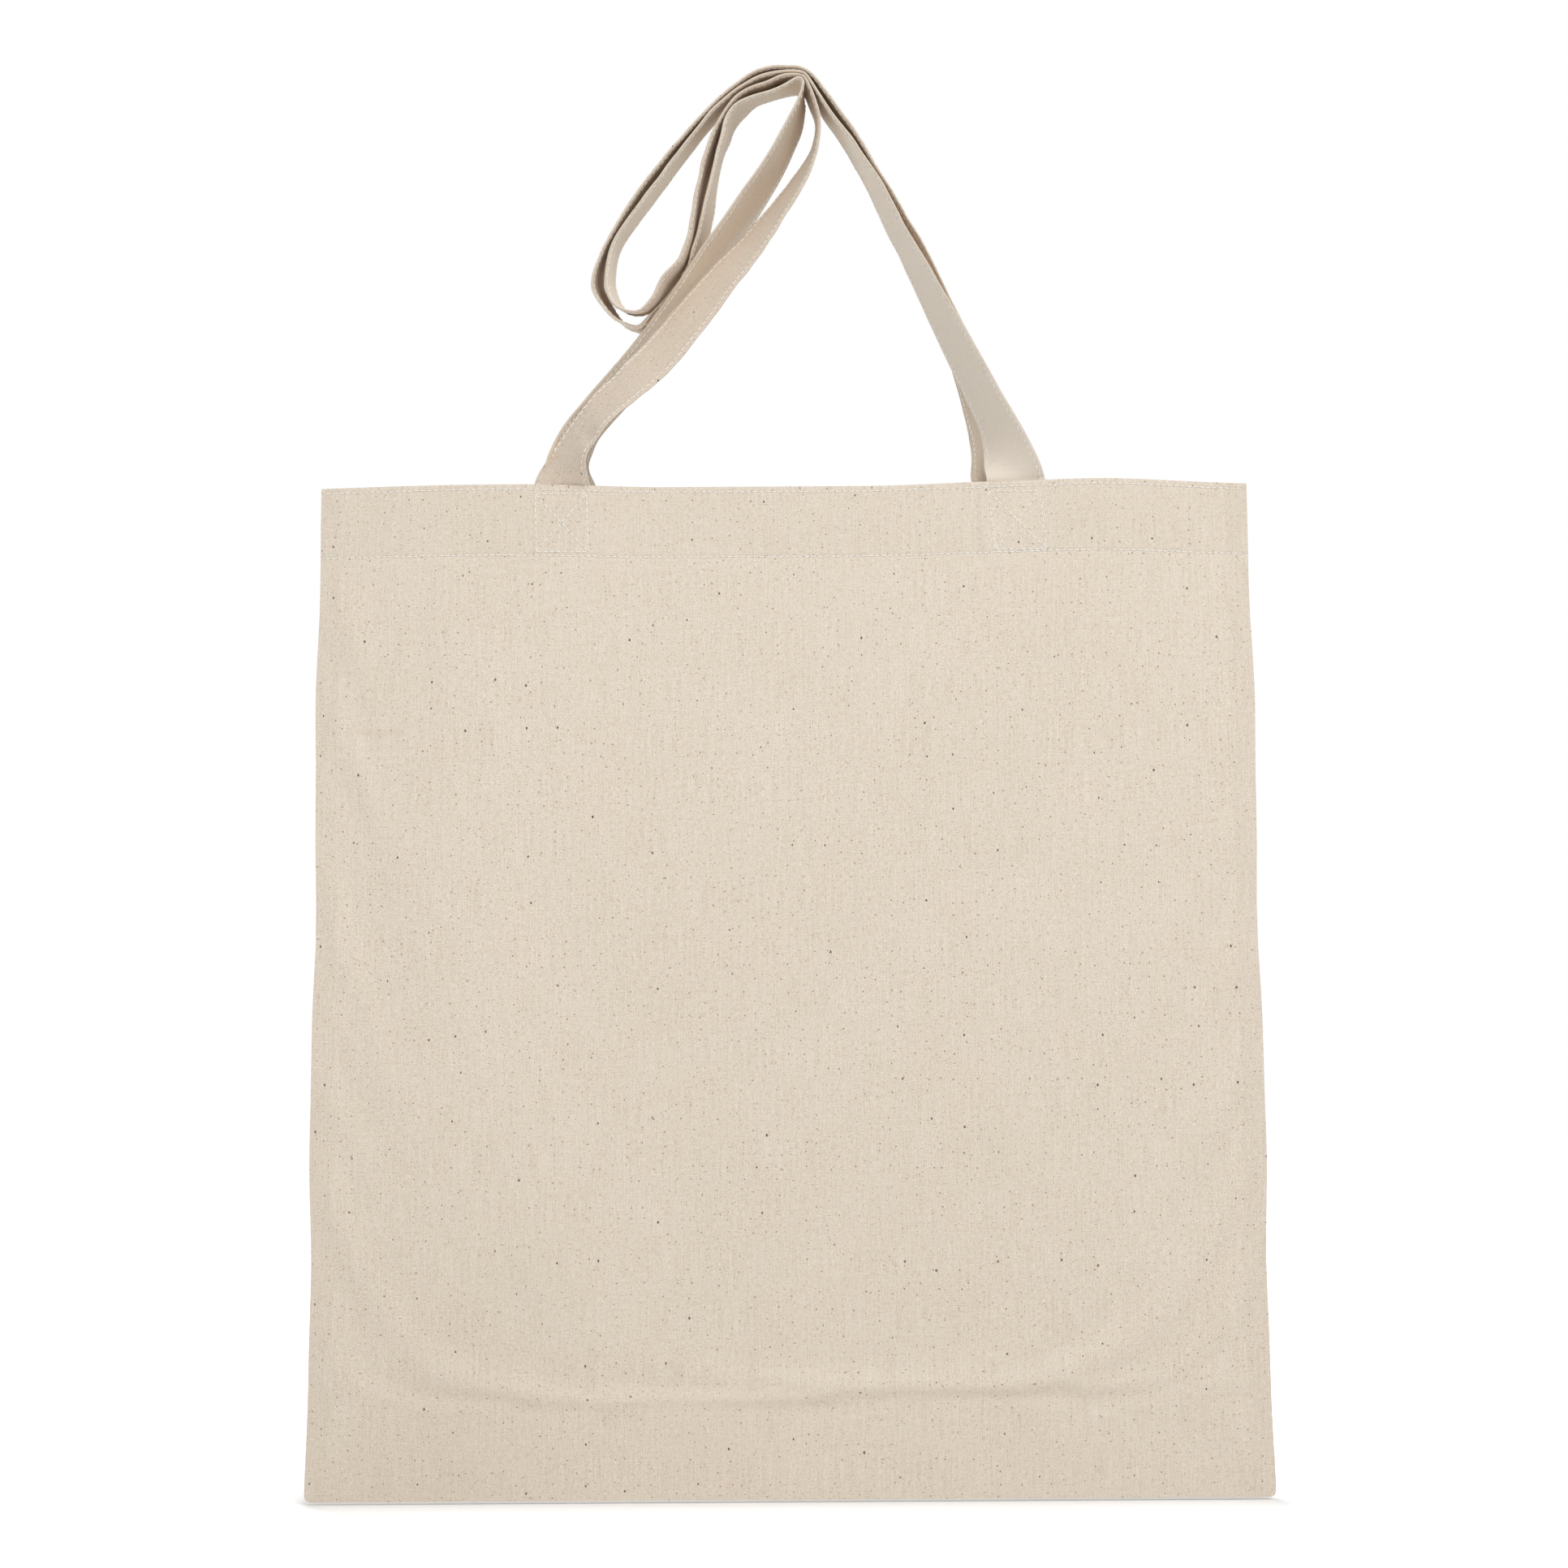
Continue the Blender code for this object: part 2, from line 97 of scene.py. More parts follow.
# --------------------------------------------------------------------------------------------------
# The studio: white paper all round, a large soft light high at the front right, a weak one low at the
# left and one behind. The paper looks brighter than it lights the bag, so that it shows plain white,
# and the floor has a painted shadow close under the bag.
ROOM_LIGHT = 0.50
FLOOR_GAP = 0.001
FLOOR_GLOW = 1.0 - ROOM_LIGHT + 0.06
PAINTED_SHADOW_REACH = 0.042
SIDEWAYS_FADE = 3.0
bpy.context.scene.view_settings.view_transform = "Standard"


class Yarn:
    """One socket of a pattern. Sums and products of it add Math nodes, and make adds any other node."""

    def __init__(self, tree, socket=None):
        self.tree = tree
        self.socket = socket

    def make(self, kind, settings=None, inputs=None, output=0):
        """Adds a node: its settings first, then its sockets' values or links, by name or number."""
        node = self.tree.nodes.new(kind)
        for name, value in (settings or {}).items():
            if name == "stops":
                ramp = node.color_ramp
                while len(ramp.elements) < len(value):
                    ramp.elements.new(0.5)
                for element, (place, colour) in zip(ramp.elements, value):
                    element.position = place
                    element.color = colour
            else:
                setattr(node, name, value)
        for name, value in (inputs or {}).items():
            if isinstance(value, Yarn):
                self.tree.links.new(value.socket, node.inputs[name])
            else:
                node.inputs[name].default_value = value
        return Yarn(self.tree, node.outputs[output])

    def beside(self, output):
        """Another output of the node that this one comes from."""
        return Yarn(self.tree, self.socket.node.outputs[output])

    def maths(self, operation, *others):
        """The result of a Math node on this socket and the others, or numbers."""
        return self.make("ShaderNodeMath", {"operation": operation}, dict(enumerate((self, *others))))

    def mix(self, other, share):
        """This colour going over to another as the share goes from 0 to 1."""
        return self.make("ShaderNodeMix", {"data_type": "RGBA"}, {0: share, 6: self, 7: other}, output=2)

    def __add__(self, other):
        return self.maths("ADD", other)

    def __radd__(self, other):
        return self.maths("ADD", other)

    def __mul__(self, other):
        return self.maths("MULTIPLY", other)

    def __rmul__(self, other):
        return self.maths("MULTIPLY", other)

    def __sub__(self, other):
        return self.maths("SUBTRACT", other)

    def __rsub__(self, other):
        return self.maths("MULTIPLY_ADD", -1.0, other)

    def __truediv__(self, other):
        return self.maths("DIVIDE", other)


def wire(shader, **inputs):
    """Links patterns to the shader's sockets: base_color=pattern feeds Base Color."""
    for name, value in inputs.items():
        socket = shader.inputs[name.replace("_", " ").title()]
        value.tree.links.new(value.socket, socket)


def band(value, low, high):
    """0 at low and 1 at high, with a smooth step between."""
    inputs = {"Value": value, "From Min": low, "From Max": high}
    return value.make("ShaderNodeMapRange", {"interpolation_type": "SMOOTHSTEP"}, inputs)


def camera_only(start):
    """1 where the camera looks straight at it, and 0 where it lights something else."""
    return start.make("ShaderNodeLightPath", output="Is Camera Ray")


world = bpy.data.worlds.new("studio")
world.use_nodes = True
paper = world.node_tree.nodes["Background"]
paper.inputs["Color"].default_value = (1.0, 1.0, 1.0, 1.0)
seen = camera_only(Yarn(world.node_tree))
wire(paper, strength=seen * (1.0 - ROOM_LIGHT) + ROOM_LIGHT)
bpy.context.scene.world = world


def add_light(name, place, aim, size, power):
    """A square soft light of the size in metres and the power in watts, turned towards its aim."""
    data = bpy.data.lights.new(name, "AREA")
    data.size = size
    data.energy = power
    light = bpy.data.objects.new(name, data)
    light.location = place
    light.rotation_euler = (Vector(aim) - Vector(place)).to_track_quat("-Z", "Y").to_euler()
    bpy.context.scene.collection.objects.link(light)


add_light("high_softbox", (0.7, -1.3, 1.1), (0.0, 0.0, -0.3), 1.2, 23.0)
add_light("low_softbox", (-1.3, -1.4, -0.3), (0.0, 0.0, -0.3), 0.9, 6.0)
add_light("back_softbox", (-0.7, 1.5, 0.8), (0.0, 0.0, -0.3), 1.0, 14.0)

floor_mesh = bpy.data.meshes.new("floor")
floor_shape = bmesh.new()
bmesh.ops.create_grid(floor_shape, x_segments=1, y_segments=1, size=12.0)
bmesh.ops.translate(floor_shape, verts=floor_shape.verts, vec=(0.0, 0.0, cad_low.z - FLOOR_GAP))
floor_shape.to_mesh(floor_mesh)
floor_shape.free()
floor = bpy.data.objects.new("floor", floor_mesh)
bpy.context.scene.collection.objects.link(floor)
floor_paint = bpy.data.materials.new("floor_paper")
floor_paint.use_nodes = True
floor_shader = floor_paint.node_tree.nodes["Principled BSDF"]
floor_shader.inputs["Base Color"].default_value = (0.90, 0.90, 0.90, 1.0)
floor_shader.inputs["Roughness"].default_value = 0.9
floor_shader.inputs["Emission Strength"].default_value = 1.0
floor_start = Yarn(floor_paint.node_tree)
floor_place = floor_start.make("ShaderNodeTexCoord", output="Object")
floor_x = floor_place.make("ShaderNodeSeparateXYZ", {}, {"Vector": floor_place})
# A painted shadow: the floor's glow is taken down close under the bag and just beside it.
past_bag = (floor_x - (cad_low.x + cad_high.x) / 2).maths("ABSOLUTE") - (cad_high.x - cad_low.x) / 2
past_bag = past_bag.maths("MAXIMUM", 0.0) * SIDEWAYS_FADE
in_front = floor_x.beside("Y")
away = (past_bag * past_bag + in_front * in_front).maths("SQRT")
painted_shadow = (away * (-1.0 / PAINTED_SHADOW_REACH)).maths("EXPONENT")
wire(floor_shader, emission_color=camera_only(floor_start) * (1.0 - painted_shadow) * FLOOR_GLOW)
floor_mesh.materials.append(floor_paint)
floor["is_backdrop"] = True

# --------------------------------------------------------------------------------------------------
# The canvas: a plain weave of unbleached cotton, about 22 yarns to the centimetre each way. The warp
# runs up the bag and is the streaky one. Bits of seed husk are left in the yarn as brown and black
# flecks.
YARN = 0.00045
CANVAS_CREAM = (0.702, 0.617, 0.516, 1.0)
SLUB_TAN = (0.56, 0.460, 0.350, 1.0)
SLUB_PALE = (0.80, 0.735, 0.640, 1.0)
GREEN_TINGE = (0.63, 0.615, 0.50, 1.0)
PINK_TINGE = (0.73, 0.57, 0.475, 1.0)
HUSK_BLACK = (0.05, 0.03, 0.02, 1.0)
DUST_BROWN = (0.42, 0.30, 0.19, 1.0)
SPECK_BROWNS = (
    (0.0, (0.06, 0.032, 0.020, 1.0)),
    (0.6, (0.17, 0.090, 0.050, 1.0)),
    (1.0, (0.26, 0.13, 0.075, 1.0)),
)
# The flecks' spacing and size in metres, and the share of the places that have one.
HUSKS = (0.0135, 0.00044, 0.42)
SPECKS = (0.0050, 0.00036, 0.60)
DUST = (0.0023, 0.00030, 0.50)


def new_material(name, roughness, sheen=0.0):
    """A material with its shader, and a Yarn to build its pattern from."""
    material = bpy.data.materials.new(name)
    material.use_nodes = True
    tree = material.node_tree
    shader = tree.nodes["Principled BSDF"]
    shader.inputs["Roughness"].default_value = roughness
    shader.inputs["Sheen Weight"].default_value = sheen
    shader.inputs["Sheen Roughness"].default_value = 0.6
    shader.inputs["Specular IOR Level"].default_value = 0.2
    return material, shader, Yarn(tree)


def attribute(start, name):
    """A number that the mesh carries at each of its points."""
    return start.make("ShaderNodeAttribute", {"attribute_name": name}, output=2)


def joined(x, y, z=0.0):
    """A place made of two patterns and a number."""
    return x.make("ShaderNodeCombineXYZ", {}, {"X": x, "Y": y, "Z": z})


def cloud(place, scale, detail=2.0, roughness=0.5):
    """Noise about 0.5, at scale waves per metre of the place given."""
    inputs = {"Vector": place, "Scale": scale, "Detail": detail, "Roughness": roughness}
    return place.make("ShaderNodeTexNoise", {}, inputs)


def flecks(place, spacing, size, kept):
    """Spots about size across, one at most in each cell of the spacing; kept is the share of cells."""
    inputs = {"Vector": place, "Scale": 1.0 / spacing}
    near = place.make("ShaderNodeTexVoronoi", {"voronoi_dimensions": "2D"}, inputs)
    chance = near.make("ShaderNodeSeparateColor", {}, {"Color": near.beside("Color")})
    swell = chance.beside("Green")
    reach = (swell * 0.65 + 0.35) * (size / spacing)
    inside = band(near / reach, 1.25, 0.75)
    return inside * band(chance, kept, kept - 0.01), swell


def canvas_material(name, seed, reliefs=(), stains_and_shades=()):
    """The canvas. The attributes across and along hold the cloth's own metres."""
    material, shader, start = new_material(name, 0.92, sheen=0.12)
    u = attribute(start, "across")
    v = attribute(start, "along")
    wander = joined(u, v, seed)
    drift_u = u + (cloud(wander, 55.0, 1.0) - 0.5) * 0.0016
    drift_v = v + (cloud(joined(v, u, seed + 3.0), 55.0, 1.0) - 0.5) * 0.0016

    # The warp's slubs run up the cloth and the weft's across it.
    warp_slub = cloud(joined(drift_u * 1500.0, drift_v * 48.0, seed), 1.0, 2.0)
    warp_fine = cloud(joined(drift_u * 2600.0, drift_v * 420.0, seed + 1.0), 1.0, 1.0)
    weft_slub = cloud(joined(drift_u * 70.0, drift_v * 1500.0, seed + 2.0), 1.0, 2.0)
    weft_fine = cloud(joined(drift_u * 460.0, drift_v * 2600.0, seed + 4.0), 1.0, 1.0)
    grain = cloud(joined(drift_u * 2300.0, drift_v * 1300.0, seed + 5.0), 1.0, 1.0)

    # Over and under: the product of the two sines is high where the warp is on top.
    turn = math.pi / YARN
    over = (drift_u * turn).maths("SINE") * (drift_v * turn).maths("SINE")
    ribs = (drift_u * turn).maths("SINE").maths("ABSOLUTE") * 0.6
    ribs = ribs + (drift_v * turn).maths("SINE").maths("ABSOLUTE") * 0.4

    streak = (warp_slub - 0.5) * 0.44 + (weft_slub - 0.5) * 0.20 + (grain - 0.5) * 0.66
    streak = streak + (warp_fine - 0.5) * 0.55 + (weft_fine - 0.5) * 0.45
    mottle = (cloud(wander, 38.0, 3.0) - 0.5) * 0.09 + (cloud(wander, 11.0, 2.0) - 0.5) * 0.12
    light = streak + mottle + over * 0.07 + 0.5
    stops = ((0.12, SLUB_TAN), (0.5, CANVAS_CREAM), (0.86, SLUB_PALE))
    colour = light.make("ShaderNodeValToRGB", {"stops": stops}, {"Fac": light})
    green = band(cloud(joined(u, v, seed + 7.0), 17.0, 2.0), 0.52, 0.78) * 0.10
    colour = colour.mix(GREEN_TINGE, green)
    pink = band(cloud(joined(u, v, seed + 11.0), 21.0, 2.0), 0.55, 0.80) * 0.12
    colour = colour.mix(PINK_TINGE, pink)

    husk, _ = flecks(joined(drift_u, drift_v * 0.75), *HUSKS)
    speck, speck_tone = flecks(joined(drift_u + 0.37 + seed, drift_v), *SPECKS)
    dust, _ = flecks(joined(drift_u * 0.8 + 0.71 + seed, drift_v), *DUST)
    colour = colour.mix(DUST_BROWN, dust * 0.54)
    brown = speck_tone.make("ShaderNodeValToRGB", {"stops": SPECK_BROWNS}, {"Fac": speck_tone})
    colour = colour.mix(brown, speck * 0.70)
    colour = colour.mix(HUSK_BLACK, husk * 0.84)
    # Real marks and painted shade and light, laid over the colour one after another.
    for colouring in stains_and_shades:
        colour = colouring(start, u, v, colour)

    height = ribs * 0.5 + over * 0.25 + (warp_slub - 0.5) * 1.1 + (weft_slub - 0.5) * 0.7
    height = height * 0.00009
    for relief in reliefs:
        height = height + relief(start, u, v)
    bump = start.make("ShaderNodeBump", {}, {"Strength": 0.75, "Distance": 1.0, "Height": height})
    wire(shader, base_color=colour, normal=bump)
    return material


# --------------------------------------------------------------------------------------------------
# The body: one cloth, folded at the bottom and seamed up both sides. It hangs almost flat, with shallow
# waves from its own weight and the pull of the handles, and its hem is stiffer than the rest.
front_low, front_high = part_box("front_panel")
mouth_z = front_high.z
fold_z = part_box("bottom_fold")[0].z
centre_x = (front_low.x + front_high.x) / 2
half_width = (front_high.x - front_low.x) / 2
hem_width = mouth_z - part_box("front_hem")[0].z
CLOTH_GRID = 0.004
CLOTH_THICKNESS = 0.0005
SEAM_ROUND = 0.075
FOLD_ROUND = 0.13
OUTER_DEPTH = -front_low.y
MOUTH_DEPTH = OUTER_DEPTH - 0.0004
SEAM_DEPTH = 0.0012
HANG_FRAMES = 18
HANG_MOST = 0.0022
HEM_TURN_RADIUS = 0.00055
HEM_TURN_STEPS = 4
HEM_EDGE_DROP = 0.0300
HEM_STITCH_DROP = 0.0290
EDGE_STITCH_DROP = 0.0018
STITCH = 0.0027
BLEND_RUN = 0.083
BLEND_HEIGHT = -0.3
CREASE_X = 0.0695
SMUDGE_X = -0.1715
SMUDGE_DROP = 0.1005
# Painted shade along the hem, along the side seams and low at the left corner.
SHADOW_TAN = (0.40, 0.33, 0.25, 1.0)
SMUDGE_TAN = (0.55, 0.40, 0.28, 1.0)


def smooth(share):
    """A smooth step from 0 to 1."""
    share = min(max(share, 0.0), 1.0)
    return share * share * (3.0 - 2.0 * share)


def lie(x, z):
    """How far the cloth's outer face stands from the bag's middle plane."""
    from_side = half_width - abs(x - centre_x)
    from_fold = z - fold_z
    closing = min(
        math.sin(min(max(from_side / SEAM_ROUND, 0.0), 1.0) * math.pi / 2),
        math.sin(min(max(from_fold / FOLD_ROUND, 0.0), 1.0) * math.pi / 2),
    )
    depth = OUTER_DEPTH + (MOUTH_DEPTH - OUTER_DEPTH) * smooth((z - mouth_z + 0.045) / 0.015)
    return SEAM_DEPTH + (depth - SEAM_DEPTH) * closing


def edge_rise(x):
    """The mouth's edge is a little lower between the handles and kicks up by the right corner."""
    between = smooth((x + 0.115) / 0.06) * smooth((0.085 - x) / 0.06)
    return 0.0004 - 0.0016 * between + 0.0012 * math.exp(-(((x - 0.125) / 0.03) ** 2))


def side_shift(z):
    """The side seams waver by a fraction of a millimetre."""
    return 0.0006 * math.sin(z * 41.0) + 0.0002 * math.sin(z * 97.0 + 1.0)


def waves(x, z, seed):
    """The shallow waves of the hanging cloth."""
    place = Vector((x * 9.0, z * 4.5, seed))
    slow = noise.noise(place)
    place = Vector((x * 24.0 + z * 6.0, z * 9.0, seed + 5.0))
    quick = noise.noise(place)
    free = smooth((mouth_z - 0.02 - z) / 0.05) * smooth((z - fold_z) / 0.16)
    free *= smooth((half_width - abs(x - centre_x)) / 0.05)
    return free * (0.0016 * slow + 0.0006 * quick)


def body_grid(name, side, seed):
    """One side of the body as a flat grid, then set to the shape it hangs in."""
    shape = bmesh.new()
    columns = round(2 * half_width / CLOTH_GRID)
    rows = round((mouth_z - fold_z) / CLOTH_GRID)
    bmesh.ops.create_grid(shape, x_segments=columns, y_segments=rows, size=0.5)
    u_layer = shape.verts.layers.float.new("across")
    v_layer = shape.verts.layers.float.new("along")
    for vert in shape.verts:
        u, v = vert.co.x * 2 * half_width, (vert.co.y + 0.5) * (mouth_z - fold_z)
        vert[u_layer] = u
        vert[v_layer] = side * v
        x, z = centre_x + u, fold_z + v
        edge = smooth(1.0 - (mouth_z - z) / 0.10)
        sideways = side_shift(z) * (u / half_width) ** 8 * math.copysign(1.0, u)
        vert.co = Vector((x + sideways, side * (lie(x, z) + waves(x, z, seed)), z + edge_rise(x) * edge))
    mesh = bpy.data.meshes.new(name)
    shape.to_mesh(mesh)
    shape.free()
    cloth = bpy.data.objects.new(name, mesh)
    bpy.context.scene.collection.objects.link(cloth)
    return cloth


def hang(cloth):
    """Lets the cloth hang from its hem and seams. No point moves further than HANG_MOST."""
    start = [vert.co.copy() for vert in cloth.data.vertices]
    held = cloth.vertex_groups.new(name="held")
    for vert in cloth.data.vertices:
        stiff = smooth((vert.co.z - mouth_z + hem_width + 0.012) / 0.012)
        seam = smooth(1.0 - (half_width - abs(vert.co.x - centre_x)) / 0.010)
        fold = smooth(1.0 - (vert.co.z - fold_z) / 0.060)
        weight = max(stiff, seam, fold)
        if weight > 0.0:
            held.add([vert.index], weight, "REPLACE")
    modifier = cloth.modifiers.new("Hanging", "CLOTH")
    settings = modifier.settings
    settings.quality = 6
    settings.mass = 0.22
    settings.tension_stiffness = 18.0
    settings.compression_stiffness = 18.0
    settings.shear_stiffness = 8.0
    settings.bending_stiffness = 0.6
    settings.air_damping = 2.0
    settings.vertex_group_mass = "held"
    settings.shrink_min = -0.0035
    modifier.collision_settings.use_collision = False
    scene = bpy.context.scene
    for step in range(1, HANG_FRAMES + 1):
        scene.frame_set(step)
    evaluated = cloth.evaluated_get(bpy.context.evaluated_depsgraph_get())
    settled = [vert.co.copy() for vert in evaluated.data.vertices]
    cloth.modifiers.clear()
    scene.frame_set(1)
    for vert, before, after in zip(cloth.data.vertices, start, settled):
        moved = after - before
        vert.co.y = before.y + HANG_MOST * math.tanh(moved.y / HANG_MOST)
        vert.co.z = before.z + HANG_MOST * math.tanh(moved.z / HANG_MOST)
    cloth.data.update()


def finish_cloth(cloth, thickness=CLOTH_THICKNESS, offset=-1.0):
    """Applies a subdivision and the cloth's thickness, and shades it smooth."""
    rounder = cloth.modifiers.new("Rounder", "SUBSURF")
    rounder.levels = rounder.render_levels = 1
    wall = cloth.modifiers.new("Wall", "SOLIDIFY")
    wall.thickness = thickness
    wall.offset = offset
    evaluated = cloth.evaluated_get(bpy.context.evaluated_depsgraph_get())
    mesh = bpy.data.meshes.new_from_object(evaluated)
    cloth.modifiers.clear()
    cloth.data = mesh
    mesh.shade_smooth()


def turn_hem(cloth, side):
    """Turns the top edge over to the inside: a round edge, the hem's inner layer and its raw edge."""
    shape = bmesh.new()
    shape.from_mesh(cloth.data)
    v_layer = shape.verts.layers.float["along"]
    top = max(vert[v_layer] * side for vert in shape.verts)
    upper = {vert for vert in shape.verts if abs(vert[v_layer] * side - top) < 1e-5}
    edges = [edge for edge in shape.edges if edge.is_boundary and set(edge.verts) <= upper]
    moves = []
    for i in range(1, HEM_TURN_STEPS + 1):
        before, after = math.pi * (i - 1) / HEM_TURN_STEPS, math.pi * i / HEM_TURN_STEPS
        inward = HEM_TURN_RADIUS * (math.cos(before) - math.cos(after))
        up = HEM_TURN_RADIUS * (math.sin(after) - math.sin(before))
        moves.append((inward, up))
    moves += [(0.0, -0.0035), (0.0002, -0.0125), (0.0002, -0.0125), (0.0, -0.0012), (0.0003, -0.0003)]
    for inward, up in moves:
        grown = bmesh.ops.extrude_edge_only(shape, edges=edges)["geom"]
        verts = [item for item in grown if isinstance(item, bmesh.types.BMVert)]
        fresh = set(verts)
        edges = [e for e in grown if isinstance(e, bmesh.types.BMEdge) and set(e.verts) <= fresh]
        bmesh.ops.translate(shape, verts=verts, vec=(0.0, -side * inward, up))
        for vert in verts:
            vert[v_layer] += side * math.hypot(inward, up)
    bmesh.ops.recalc_face_normals(shape, faces=shape.faces)
    single = [face for face in shape.faces if face.calc_center_median().z < mouth_z - 0.05]
    outward = sum(face.normal.y * face.calc_area() for face in single)
    if outward * side < 0:
        bmesh.ops.reverse_faces(shape, faces=shape.faces)
    shape.to_mesh(cloth.data)
    shape.free()


def split_half(cloth, name, keep_left, look):
    """A copy of the cloth on one side of the bag's centre line."""
    shape = bmesh.new()
    shape.from_mesh(cloth.data)
    bmesh.ops.bisect_plane(
        shape,
        geom=[*shape.verts, *shape.edges, *shape.faces],
        plane_co=(centre_x, 0.0, 0.0),
        plane_no=(1.0, 0.0, 0.0),
        clear_outer=keep_left,
        clear_inner=not keep_left,
    )
    cut = [edge for edge in shape.edges if edge.is_boundary]
    bmesh.ops.holes_fill(shape, edges=cut, sides=0)
    mesh = bpy.data.meshes.new(name)
    shape.to_mesh(mesh)
    shape.free()
    mesh.shade_smooth()
    mesh.set_sharp_from_angle(angle=math.radians(60.0))
    mesh.materials.append(look)
    half = bpy.data.objects.new(name, mesh)
    bpy.context.scene.collection.objects.link(half)
    return half


def open_with_mouth(piece, left):
    """The piece stays with the side seam at its outer edge and moves with the front side further in."""
    outer = centre_x + (-half_width if left else half_width)
    inner = outer + (BLEND_RUN if left else -BLEND_RUN)
    start, end = (outer, 0.0, BLEND_HEIGHT), (inner, 0.0, BLEND_HEIGHT)
    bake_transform(piece, "back_side", "front_side", start=start, end=end)


def below_mouth(v):
    """How far down the cloth from the mouth, in metres."""
    return (mouth_z - fold_z) - v.maths("ABSOLUTE")


def hem_relief(start, u, v):
    """The pucker along the hem's stitches and the step where the hem's inner edge shows through."""
    drop = below_mouth(v)
    row = band((drop - HEM_STITCH_DROP).maths("ABSOLUTE"), 0.0016, 0.0)
    ripple = cloud(joined(u * 420.0, drop * 150.0, 2.0), 1.0, 2.0) - 0.5
    stitch_dents = (u * (2 * math.pi / STITCH)).maths("SINE")
    pucker = row * (-0.00020 + ripple * 0.00022 + stitch_dents * 0.00005)
    edge_row = band((drop - EDGE_STITCH_DROP).maths("ABSOLUTE"), 0.0009, 0.0) * -0.00012
    under_hem = band(drop, 0.0285, HEM_EDGE_DROP) * -0.00012
    tugs = cloud(joined(u * 130.0, drop * 22.0, 6.0), 1.0, 2.0) - 0.5
    near_row = band((drop - HEM_STITCH_DROP).maths("ABSOLUTE"), 0.016, 0.0)
    return pucker + edge_row + under_hem + near_row * tugs * 0.00022


def seam_relief(start, u, v):
    """The ridge that the seam allowance makes under the cloth along both sides."""
    return band(half_width - u.maths("ABSOLUTE"), 0.0100, 0.0078) * 0.00018


def painted_hem_and_seam_shade(start, u, v, colour):
    """Painted shade: where the hem or a seam allowance lies behind it, the cloth is painted a little darker.
    """
    over_hem = band(below_mouth(v), HEM_EDGE_DROP, 0.0290)
    over_seam = band(half_width - u.maths("ABSOLUTE"), 0.0105, 0.0075)
    return colour.mix(SHADOW_TAN, over_hem * 0.045 + over_seam * 0.065)


def front_crease(start, u, v):
    """A soft upright crease beside the right handle, from the mouth's edge to just under the hem."""
    drop = below_mouth(v)
    line = band((u - (CREASE_X - centre_x) - drop * 0.08).maths("ABSOLUTE"), 0.0030, 0.0)
    return line * band(drop, 0.040, 0.028) * -0.00060


def front_smudge_and_corner_shade(start, u, v, colour):
    """A faint tan rub mark near the left side, and painted shade that makes the corner low at the left
    greyer.
    """
    from_mark = (u - (SMUDGE_X - centre_x)).maths("ABSOLUTE")
    ragged = (cloud(joined(u * 300.0, v * 900.0, 3.0), 1.0, 2.0) - 0.5) * 0.0016
    across_mark = band(from_mark, 0.0105, 0.0070)
    down_mark = band((below_mouth(v) - SMUDGE_DROP + ragged).maths("ABSOLUTE"), 0.0026, 0.0006)
    colour = colour.mix(SMUDGE_TAN, across_mark * down_mark * 0.16)
    # Painted shade: the lower left corner is painted greyer and darker.
    painted_corner_shade = band(u, -0.04, -0.17) * band(v.maths("ABSOLUTE"), 0.22, 0.03)
    return colour.mix(SHADOW_TAN, painted_corner_shade * 0.11)


body_reliefs = (hem_relief, seam_relief)
front_stains_and_shades = (painted_hem_and_seam_shade, front_smudge_and_corner_shade)
front_canvas = canvas_material("front_canvas", 0.0, (*body_reliefs, front_crease), front_stains_and_shades)
back_canvas = canvas_material("back_canvas", 31.0, body_reliefs, (painted_hem_and_seam_shade,))

front_cloth = body_grid("front_cloth", -1, 2.0)
back_cloth = body_grid("back_cloth", 1, 8.0)
hang(front_cloth)
hang(back_cloth)
turn_hem(front_cloth, -1)
turn_hem(back_cloth, 1)
finish_cloth(front_cloth)
finish_cloth(back_cloth)
back_cloth.data.materials.append(back_canvas)

front_skin = BVHTree.FromObject(front_cloth, bpy.context.evaluated_depsgraph_get())
back_skin = BVHTree.FromObject(back_cloth, bpy.context.evaluated_depsgraph_get())

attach(back_cloth, "back_side")
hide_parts("back_panel", "back_hem", "bottom_fold")
for left, piece_name in ((True, "front_cloth_left"), (False, "front_cloth_right")):
    half = split_half(front_cloth, piece_name, left, front_canvas)
    open_with_mouth(half, left)
    if left:
        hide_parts("front_panel", "front_hem")
bpy.data.objects.remove(front_cloth, do_unlink=True)

# --------------------------------------------------------------------------------------------------
# Cotton sewing thread: each stitch is a short bead of cream thread that dives into a needle hole at
# both ends. Its ends are painted dark, as painted shade in the holes, and show as dark points between
# the stitches.
THREAD_RADIUS = 0.00024
THREAD_CREAMS = ((0.0, (0.87, 0.83, 0.75, 1.0)), (1.0, (0.95, 0.93, 0.88, 1.0)))
HOLE_SHADE_BROWN = (0.17, 0.12, 0.08, 1.0)
thread_material, thread_shader, thread_start = new_material("thread", 0.6, sheen=0.2)
dive = attribute(thread_start, "dive")
ply = attribute(thread_start, "ply")
twist = (ply * 9.0).maths("SINE") * 0.5 + 0.5
thread_colour = twist.make("ShaderNodeValToRGB", {"stops": THREAD_CREAMS}, {"Fac": twist})
# Painted shade: each bead's ends are painted dark where the thread goes into the cloth.
thread_colour = thread_colour.mix(HOLE_SHADE_BROWN, band(dive, 0.78, 0.95) * 0.8)
thread_bump = twist.make("ShaderNodeBump", {}, {"Strength": 0.5, "Distance": 0.0001, "Height": twist})
wire(thread_shader, base_color=thread_colour, normal=thread_bump)

